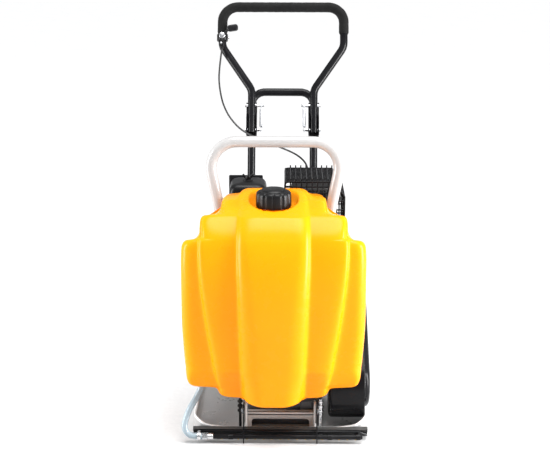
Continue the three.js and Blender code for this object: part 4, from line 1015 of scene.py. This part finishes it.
def make_cylinder():
    barrel = [prism("z", rounded(-40, -38, 40, 38, 20), 60, 132, 1.5),
              prism("z", rounded(-50, -46, 50, 44, 12), 130, 138, 1)]
    barrel += [prism("z", rounded(-54, -50, 54, 46, 12), z, z + 2.6, 0.8, 2) for z in range(66, 129, 7)]
    for x in (-42, 42):
        for y in (-38, 36):
            barrel += bolt_head("z", x, y, 138, 144, 5)
    mesh("cylinder_fins", [moved(s, LEAN) for s in barrel], "machine", "alloy", "cylinder")
    cover = [prism("z", rounded(-44, -38, 44, 38, 12), 138.3, 160, 6, 6),
             prism("z", rounded(-30, -24, 30, 24, 8), 158, 162, 2)] + bolt_head("z", 0, 0, 161, 167, 5)
    mesh("rocker_cover_pressing", [moved(s, LEAN) for s in cover], "machine", "black", "rocker_cover")
    boot = [rod("x", 0, 150, 8, -70, -44.4, 40, 2), rod("z", -64, 0, 6, 144, 176, 40, 2)]
    boot += [rod("x", 0, 150, 9, -60 + 4 * k, -58 + 4 * k, 40, 0.6) for k in range(3)]
    lead = tube(smooth([(-64, 0, 174), (-66, 8, 184), (-74, 30, 178), (-86, 58, 150), (-92, 78, 120)]), 3.4,
                16)
    mesh("spark_plug_boot", [moved(s, LEAN) for s in boot + [lead]], "machine", "rubber", "spark_plug_cap")


def shroud_side(grow):
    return loop((*CRANK, 92 + grow), (-8, 340, 54 + grow), 40)


def make_starter():
    y, z = CRANK
    shell = cup(shroud_side, -74, -127, 4, 7)
    n = len(shroud_side(0))
    rows = len(shell[0]) // n
    lip = [((rows - 1) * n + i, (rows - 1) * n + (i + 1) % n, (i + 1) % n, i) for i in range(n)]
    shapes = [(shell[0], [f for f in shell[1] if len(f) == 4] + lip
               + [tuple(range(rows // 2 * n, (rows // 2 + 1) * n)),
                  tuple(range((rows // 2 - 1) * n, rows // 2 * n))])]
    bolts = []
    for a in (20, 110, 200, 290):
        t = math.radians(a)
        bolts += bolt_head("x", y + 80 * math.cos(t), z + 80 * math.sin(t), -127, -132, 4.5)
    mesh("fan_shroud_pressing", shapes, "machine", "black", "fan_shroud")
    mesh("fan_shroud_bolts", bolts, "machine", "zinc")
    dome = [(0, -28), (20, -28), (38, -27.4), (44, -25), (52, -24), (62, -21.5), (67, -18), (70, -13),
            (72, -7),
            (72, -1), (71, 0), (0, 0)]
    cover = [turned_x(dome, -127.3, y, z, 96), block(-152, -128, 24, 44, 340, 370, 3)]
    for k in range(24):
        spoke = Matrix.Translation((0, y, z)) @ Matrix.Rotation(2 * math.pi * k / 24, 4, "X")
        cover.append(moved(block(-154.4, -150, 46, 64, -1.6, 1.6, 0.8), spoke))
    cover.append(turned_x([(10, -30), (30, -30), (32, -28), (32, -26), (10, -26), (10, -30)], -127.3, y, z,
                          64))
    mesh("recoil_cover_pressing", cover, "machine", "black", "recoil_cover")
    tilt = math.atan2(-0.35, 0.937)
    place = Matrix.Translation((-140, 32, 372)) @ Matrix.Rotation(tilt, 4, "Y")
    grip = [prism("y", rounded(-9, 6, 9, 20, 6), -20, 20, 4, 5), rod("z", 0, 0, 6, 3, 8, 32, 1)]
    mesh("recoil_grip_handle", [moved(s, place) for s in grip], "recoil_pull", "rubber", "recoil_grip")
    switch = [block(-136, -127.3, -32, -8, 348, 376, 2), block(-140, -135, -27, -13, 355, 369, 1.5)]
    mesh("engine_switch_rocker", switch, "machine", "red", "engine_switch")


def make_fuel_tank():
    can = [prism("z", rounded(-112, 84, 112, 200, 18, 8), 392, 490, 14, 8),
           rod("z", 20, 142, 20, 480, 495, 64, 1),
           prism("z", rounded(-114, 82, 114, 202, 18, 8), 438, 442, 1.5)]
    can += [block(x, x + 16, 100, 140, 362.3, 400, 2) for x in (-60, 44)]
    mesh("fuel_tank_pressing", can, "machine", "black", "fuel_tank")

    def fluted(t, k):
        return 1 - (0.05 * max(0, math.cos(10 * t)) ** 2 if 1 <= k <= 4 else 0)

    cap = [(0, 489), (25, 489), (27, 491), (27, 496), (27, 500), (26, 503), (23, 506), (16, 507.6), (0, 508)]
    mesh("fuel_cap_knob", lathe(cap, 120, Matrix.Translation((20, 142, 0)), fluted), "fuel_filler_cap",
         "satin",
         "fuel_cap")


def make_carburetor():
    x, y = CLEANER_X, CLEANER_Y
    body = [prism("z", rounded(x - 24, -62, x + 24, -10, 8), 440, 486, 3), rod("z", x, y, 16, 484, 507.7, 48),
            rod("z", x, y, 17, 424, 442, 48, 3), rod("z", x, y, 5, 418, 425, 24),
            block(x + 20, -44, -50, -24, 408, 470, 3), block(-60, -30, -46, -22, 408, 422, 2)]
    body += bolt_head("x", -20, 462, x - 24, x - 29, 4) + [rod("x", -52, 452, 5, x - 32, x - 24, 24)]
    mesh("carburetor_casting", body, "machine", "alloy", "carburetor")
    lever = [rod("x", -26, 474, 5, x - 28, x - 24.3, 32),
             prism("x", rounded(-31, 470, -8, 478, 3.5), x - 32, x - 27.5,
                                                           1, 3)]
    mesh("choke_lever_arm", lever, "choke", "satin", "choke_lever")


def make_air_cleaner():
    x, y = CLEANER_X, CLEANER_Y
    base = [prism("z", rounded(-133, -94, -34, 20, 14, 8), 508, 520, 2), rod("z", x, y, 3, 515, 593, 24),
            block(-134, -48, 20.5, 30, 500, 583, 3)]
    base += [block(a, a + 8, -97, -93, 512, 528, 1) for a in (-118, -58)]
    mesh("air_cleaner_tray", base, "machine", "satin", "air_cleaner_base")
    x0, x1, y0, y1, r = -131, -36, -92, 18, 18
    rings = [(520.3, 5), (520.3, 0.6), (521.5, 0), (525, 0), (527, 1.2), (530, 1.6), (560, 2), (567, 2.6),
             (573, 4.4),
             (577.5, 7.4), (580.5, 11), (582.4, 16), (583.6, 23), (584.6, 31), (585, 40)]
    levels = [[(a, b, z) for a, b in rounded(x0 + d, y0 + d, x1 - d, y1 - d, max(r - d * 0.45, 4), 8)]
              for z, d in rings]
    cover = [stack(levels), rod("z", x, y, 13, 584, 587, 48, 1.2)]
    mesh("air_cleaner_lid", cover, "filter_lid", "satin", "air_cleaner_cover", sharp=45)
    wing = [(-14, 599), (-11, 601), (-7, 596), (-4, 594), (4, 594), (7, 596), (11, 601), (14, 599), (9, 590),
            (5, 587), (-5, 587), (-9, 590)]
    nut = [rod("z", x, y, 7, 587.3, 596, 40, 1),
           prism("y", [(-x - u, z) for u, z in wing], -40.5, -35.5, 1.6, 3)]
    mesh("wing_nut_body", nut, "lid_nut", "satin", "wing_nut")


# ---------- muffler and its wire cage ----------
CAGE = {"x0": 8.5, "x1": 153.5, "y0": -95.5, "y1": 59.5, "z0": 452.5, "z1": 593.5, "cut_x": 26, "cut_z": 36}


def make_muffler():
    box = [prism("z", rounded(24, -72, 138, 38, 30, 10), 482, 574, 12, 7),
           rod("z", 34, -30, 15, 404, 486, 48),
           block(12, 56, -48, -12, 402, 410, 2)]
    box += [prism("z", rounded(22.5, -73.5, 139.5, 39.5, 31, 10), z, z + 3, 1.2, 2) for z in (500, 552)]
    box += [block(x, x + 3, -79, -70, 488, 568, 1.2) for x in range(44, 125, 9)]
    box += [block(x, x + 3, 36, 45, 488, 568, 1.2) for x in range(44, 125, 9)]
    outlet = tube([(138, -10, 530), (142, -10, 530), (146, -10, 528)], 9, 32)
    mesh("muffler_box", box + [outlet], "machine", "heat", "muffler")


def bow(x, top, stand):
    """Wire that runs up the front, over the top and down the rear, with its ends left standing proud."""
    y0, y1, z0 = CAGE["y0"], CAGE["y1"], CAGE["z0"]
    wires = [tube([(x, y, z0 - 1), (x, y, (z0 + top) / 2), (x, y, top + stand)], 1.7, 10) for y in (y0, y1)]
    return wires + [tube([(x, y0, top), (x, (y0 + y1) / 2, top + 0.5), (x, y1, top)], 1.7, 10)]


def make_cage():
    x0, x1, y0, y1, z0, z1 = (CAGE[k] for k in ("x0", "x1", "y0", "y1", "z0", "z1"))
    shoulder, low = x1 - CAGE["cut_x"], z1 - CAGE["cut_z"]
    wires = []
    count = 10
    for k in range(count):
        wires += bow(x0 + (shoulder - x0) * k / (count - 1), z1, 8 if k else 0)
    for k in (1, 2):
        f = k / 2
        wires += bow(shoulder + (x1 - shoulder) * f, z1 + (low - z1) * f, 0)
    for z in (z0, 476, 500, 524, 546, 566, 581):
        edge = x1 if z < low else shoulder + (x1 - shoulder) * (z1 - z) / (z1 - low)
        wires.append(tube(bent([(edge, y1, z), (x0, y1, z), (x0, y0, z), (edge, y0, z)], 5, 4), 1.9, 10))
    for z in (z0, 476, 500, 524, 546):
        wires.append(tube([(x1, y0, z), (x1, 0, z), (x1, y1, z)], 1.9, 10))
    for k in range(1, 11):
        y = y0 + (y1 - y0) * k / 11
        wires += [tube([(x, y, z0), (x, y, (z0 + top) / 2), (x, y, top)], 1.7, 10) for x,
                  top in ((x0, z1), (x1, low))]
        wires.append(tube(bent([(x0, y, z1), (shoulder, y, z1), (x1, y, low)], 12, 3), 1.7, 10))
    for y in (y0, y1):
        wires.append(tube(bent([(x0, y, z0), (x0, y, z1), (shoulder, y, z1), (x1, y, low), (x1, y, z0)], 7,
                               5), 2.4, 12))
    wires += [block(70, 76, y0, y1, z0 - 2, z0 + 1.5, 0.6), block(66, 80, -60, -30, z0 - 0.5, 482, 1.5)]
    mesh("muffler_cage", wires, "machine", "black", "muffler_guard")


make_crankcase()
make_cylinder()
make_starter()
make_fuel_tank()
make_carburetor()
make_air_cleaner()
make_muffler()
make_cage()


# ---------- folding handle ----------
RAKE = math.radians(24)
FOOT, PIVOT = (185, 190), (357.2, 637.9)
LEG_X, TUBE_R, LEG_SET = 87, 11, 25
SPAN = (PIVOT[0] - FOOT[0]) * math.sin(RAKE) + (PIVOT[1] - FOOT[1]) * math.cos(RAKE)
LOCK = 70


def raked(origin):
    """Frame of a raked tube: X across, Y behind it, Z up the tube."""
    return Matrix.Translation((0, *origin)) @ Matrix.Rotation(-RAKE, 4, "X")


LOWER, UPPER = raked(FOOT), raked(PIVOT)


def make_lower_handle():
    arch = bent([(-LEG_X, 0, 0), (-LEG_X, 0, 595), (LEG_X, 0, 595), (LEG_X, 0, 0)], 36, 14)
    shapes = [tube(spaced(arch, 12), TUBE_R, 36)]
    s = SPAN
    cheek = ([(14 - LEG_SET, s - 16), (-9 - LEG_SET, s - 16), (-9 - LEG_SET, s + 36), (5 - LEG_SET, s + 52),
              (5 - LEG_SET, s + 80), (14 - LEG_SET, s + 80)])
    for x in (-LEG_X, LEG_X):
        for side in (x - TUBE_R - 4, x + TUBE_R + 1):
            shapes.append(prism("x", cheek, side, side + 3, 0.8, 2))
        shapes.append(block(x - 15, x + 15, 12 - LEG_SET, 15.5 - LEG_SET, s - 16, s + 80, 0.8))
        shapes.append(lathe([(11, 4), (14.5, 4), (12.5, 8), (11, 9.5), (11, 4)], 36,
                            Matrix.Translation((x, 0, 0))))
    shapes = [moved(q, LOWER) for q in shapes]
    y = FOOT[0]
    for x in (-LEG_X, LEG_X):
        gusset = [(y - 12, 187), (y + 30, 187), (y + 34, 250), (y + 20, 250)]
        shapes += [block(x - 22, x + 22, y - 26, y + 36, 184.3, 190, 1.2),
                   prism("x", gusset, x - 3, x + 3, 0.8, 2)]
        shapes += bolt_head("z", x - 14, y - 16, 190, 196, 6) + bolt_head("z", x + 14, y + 26, 190, 196, 6)
    mesh("lower_handle_tube", shapes, "machine", "black", "lower_handle")


GRIP_X, GRIP_TOP, GRIP_END = 172, 358, 279


def make_upper_handle():
    route = bent([(-LEG_X, 0, -8), (-LEG_X, 0, 115), (-GRIP_X, 0, 241), (-GRIP_X, 0, GRIP_TOP),
                  (GRIP_X, 0, GRIP_TOP), (GRIP_X, 0, 241), (LEG_X, 0, 115), (LEG_X, 0, -8)], 44, 14)
    shapes = [tube(spaced(route, 9), TUBE_R, 36)]
    mesh("upper_handle_tube", [moved(q, UPPER) for q in shapes], "handle", "black", "upper_handle")


def make_foam_grip():
    route = spaced(bent([(-GRIP_X, 0, GRIP_END), (-GRIP_X, 0, GRIP_TOP), (GRIP_X, 0, GRIP_TOP),
                         (GRIP_X, 0, GRIP_END)], 44, 20), 3)
    last = len(route) - 1

    def radius(k):
        end = min(k, last - k) / 2
        ripple = 0.12 * math.sin(k * 0.9) + 0.08 * math.sin(k * 0.37 + 1)
        return 13.9 + ripple - 2.2 * max(0, 1 - end) ** 2

    foam = mesh("foam_grip_sleeve", moved(tube(route, radius, 40), UPPER), "handle", "foam", "foam_grip")


def coil_spring(x):
    """Close-wound tension spring along the handle, with an eye round each pin."""
    low, high, turns, r = 9, LOCK - 9, 23, 3.9
    steps = turns * 18
    path = [(x + r * math.cos(2 * math.pi * k / 18), r * math.sin(2 * math.pi * k / 18),
             low + (high - low) * k / steps) for k in range(steps + 1)]
    shapes = [tube(path, 1.15, 8)]
    for s in (0, LOCK):
        eye = [(x, 5.6 * math.cos(math.radians(a)),
                s + 5.6 * math.sin(math.radians(a))) for a in range(0, 341, 12)]
        shapes.append(tube(eye, 1.15, 8))
    shapes += [tube([(x, 0, 5), (x, 2, 7.5), (x + r, 0, low)], 1.15, 8),
               tube([(x + r, 0, high), (x, 2, high + 1.5), (x, 0, LOCK - 5)], 1.15, 8)]
    return shapes


def make_handle_bolts():
    for side, sign in (("l", -1), ("r", 1)):
        for name, s, inner in (("pivot", 0, 57), ("lock", LOCK, 52)):
            near, far = LEG_X - TUBE_R - 4.3, LEG_X + TUBE_R + 4.3
            bolt = [rod("x", 0, s, 4, sign * inner, sign * 104, 32),
                    rod("x", 0, s, 6.5, sign * far, sign * (far + 1), 32),
                    prism("x", hexa(0, s, 5.2), sign * (far + 1), sign * 107.5, 1, 3),
                    rod("x", 0, s, 6.5, sign * near, sign * (near - 1), 32, 0.2),
                    prism("x", hexa(0, s, 5.2), sign * (near - 1), sign * 65.5, 1, 3)]
            mesh(f"{name}_bolt_pin_{side}", [moved(q, UPPER) for q in bolt], "handle", "zinc",
                 f"{name}_bolt_{side}")
        mesh(f"handle_coil_spring_{side}", [moved(q, UPPER) for q in coil_spring(sign * 60)], "handle",
             "spring",
             f"handle_spring_{side}")


make_lower_handle()
make_upper_handle()
make_foam_grip()
make_handle_bolts()


# ---------- throttle ----------
CLAMP_S, CLAMP_FRONT = 268, -17


def make_throttle():
    s = CLAMP_S
    clamp = [lathe([(11.6, s - 10), (15, s - 10), (15.5, s - 9), (15.5, s + 8), (15, s + 9), (11.6, s + 9),
                    (11.6, s - 10)], 48, Matrix.Translation((-GRIP_X, 0, 0))),
             block(-GRIP_X - 7, -GRIP_X + 7, CLAMP_FRONT + 0.2, -11, s - 7, s + 7, 1.5),
             block(-GRIP_X - 6, -GRIP_X + 6, -24, -13.5, s - 34, s - 8, 2),
             lathe([(2.9, s - 40), (4, s - 40), (4.6, s - 36), (4.6, s - 32), (2.9, s - 32), (2.9, s - 40)],
                   24,
                   Matrix.Translation((-GRIP_X, -19, 0)))]
    mesh("throttle_clamp_body", [moved(q, UPPER) for q in clamp], "handle", "satin", "throttle_clamp")
    screws = [rod("y", GRIP_X + 2, s - 24, 3.2, -26, -24, 24, 0.6),
              rod("x", 4, s, 3, -GRIP_X + 15, -GRIP_X + 19, 20)]
    mesh("throttle_clamp_screws", [moved(q, UPPER) for q in screws], "handle", "zinc")
    hub = Matrix.Translation((-GRIP_X, CLAMP_FRONT - 0.3, s))
    arm = [prism("y", [(3, -4), (3, 4), (-20, 16), (-20, 10)], -5.2, -1.2, 0.8, 2),
           prism("y", rounded(-48, 8, -18, 26, 7, 6), -9, 5, 4, 5)]
    tilt = Matrix.Rotation(math.radians(-9), 4, "Y")
    mesh("throttle_lever_paddle", [moved(q, UPPER @ hub @ tilt) for q in arm], "throttle", "satin",
         "throttle_lever")
    disc = [prism("y", ring(0, 0, 8.5, 48), -6.5, -0.2, 1.2, 3), prism("y", hexa(0, 0, 4.5), -9, -6, 0.8, 2)]
    mesh("throttle_lever_pivot", [moved(q, UPPER @ hub) for q in disc], "throttle", "zinc")


def in_handle(x, y, s):
    return UPPER @ Vector((x, y, s))


def make_throttle_cable():
    """Bowden cable from the clamp, down behind the roll bar and round the cage to the carburettor."""
    top = in_handle(-GRIP_X, -19, CLAMP_S - 23)
    points = [in_handle(-GRIP_X, -19, CLAMP_S - 38), (-178, 424, 806), (-180, 418, 770), (-176, 414, 733),
              (-166, 396, 700), (-146, 372, 668), (-112, 338, 640), (-60, 300, 621), (-5, 258, 608),
              (40, 212, 596),
              (64, 165, 580), (66, 122, 556), (54, 90, 526), (32, 77, 497), (4, 78, 470), (-18, 46, 452),
              (-32, 4, 452), (-44, -13, 470)]
    route = spaced([top, *smooth(points, 10), (-59, -16, 478)], 4)[::-1]
    cable = mesh("throttle_cable_jacket", tube(route, 2.5, 14), None, "cable", "throttle_cable")
    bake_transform(cable)


make_throttle()
make_throttle_cable()


# ---------- studio ----------
def make_studio():
    world = bpy.data.worlds.new("studio")
    world.use_nodes = True
    back = world.node_tree.nodes["Background"]
    back.inputs["Color"].default_value, back.inputs["Strength"].default_value = (0.97, 0.98, 1.0, 1), 0.45
    scene.world = world
    sun = bpy.data.lights.new("overhead", "SUN")
    sun.energy, sun.angle = 4.6, math.radians(46)
    lamp = bpy.data.objects.new("overhead", sun)
    lamp.rotation_euler = (math.radians(6), math.radians(6), 0)
    scene.collection.objects.link(lamp)
    for name, place, size, power in (("left", (-2.4, -0.55, 0.8), (0.6, 2.0), 80),
                                     ("right", (2.4, -0.75, 0.9), (0.6, 2.0), 150)):
        light = bpy.data.lights.new(name, "AREA")
        light.shape, light.size, light.size_y, light.energy = "RECTANGLE", *size, power
        lamp = bpy.data.objects.new(name, light)
        lamp.location = place
        lamp.rotation_euler = (Vector((0, -0.1, 0.4)) - Vector(place)).to_track_quat("-Z", "Y").to_euler()
        scene.collection.objects.link(lamp)
    data = bpy.data.meshes.new("studio_floor")
    half = 30
    data.from_pydata([(-half, -half, 0), (half, -half, 0), (half, half, 0), (-half, half, 0)], [],
                     [(0, 1, 2, 3)])
    data.materials.append(surface("studio_paper", (0.55, 0.55, 0.55), (0.57, 0.57, 0.57), (0.7, 0.8),
                                  grain=200,
                                  bump=0.02))
    floor = bpy.data.objects.new("studio_floor", data)
    scene.collection.objects.link(floor)
    scene.view_settings.view_transform = "Standard"


make_studio()
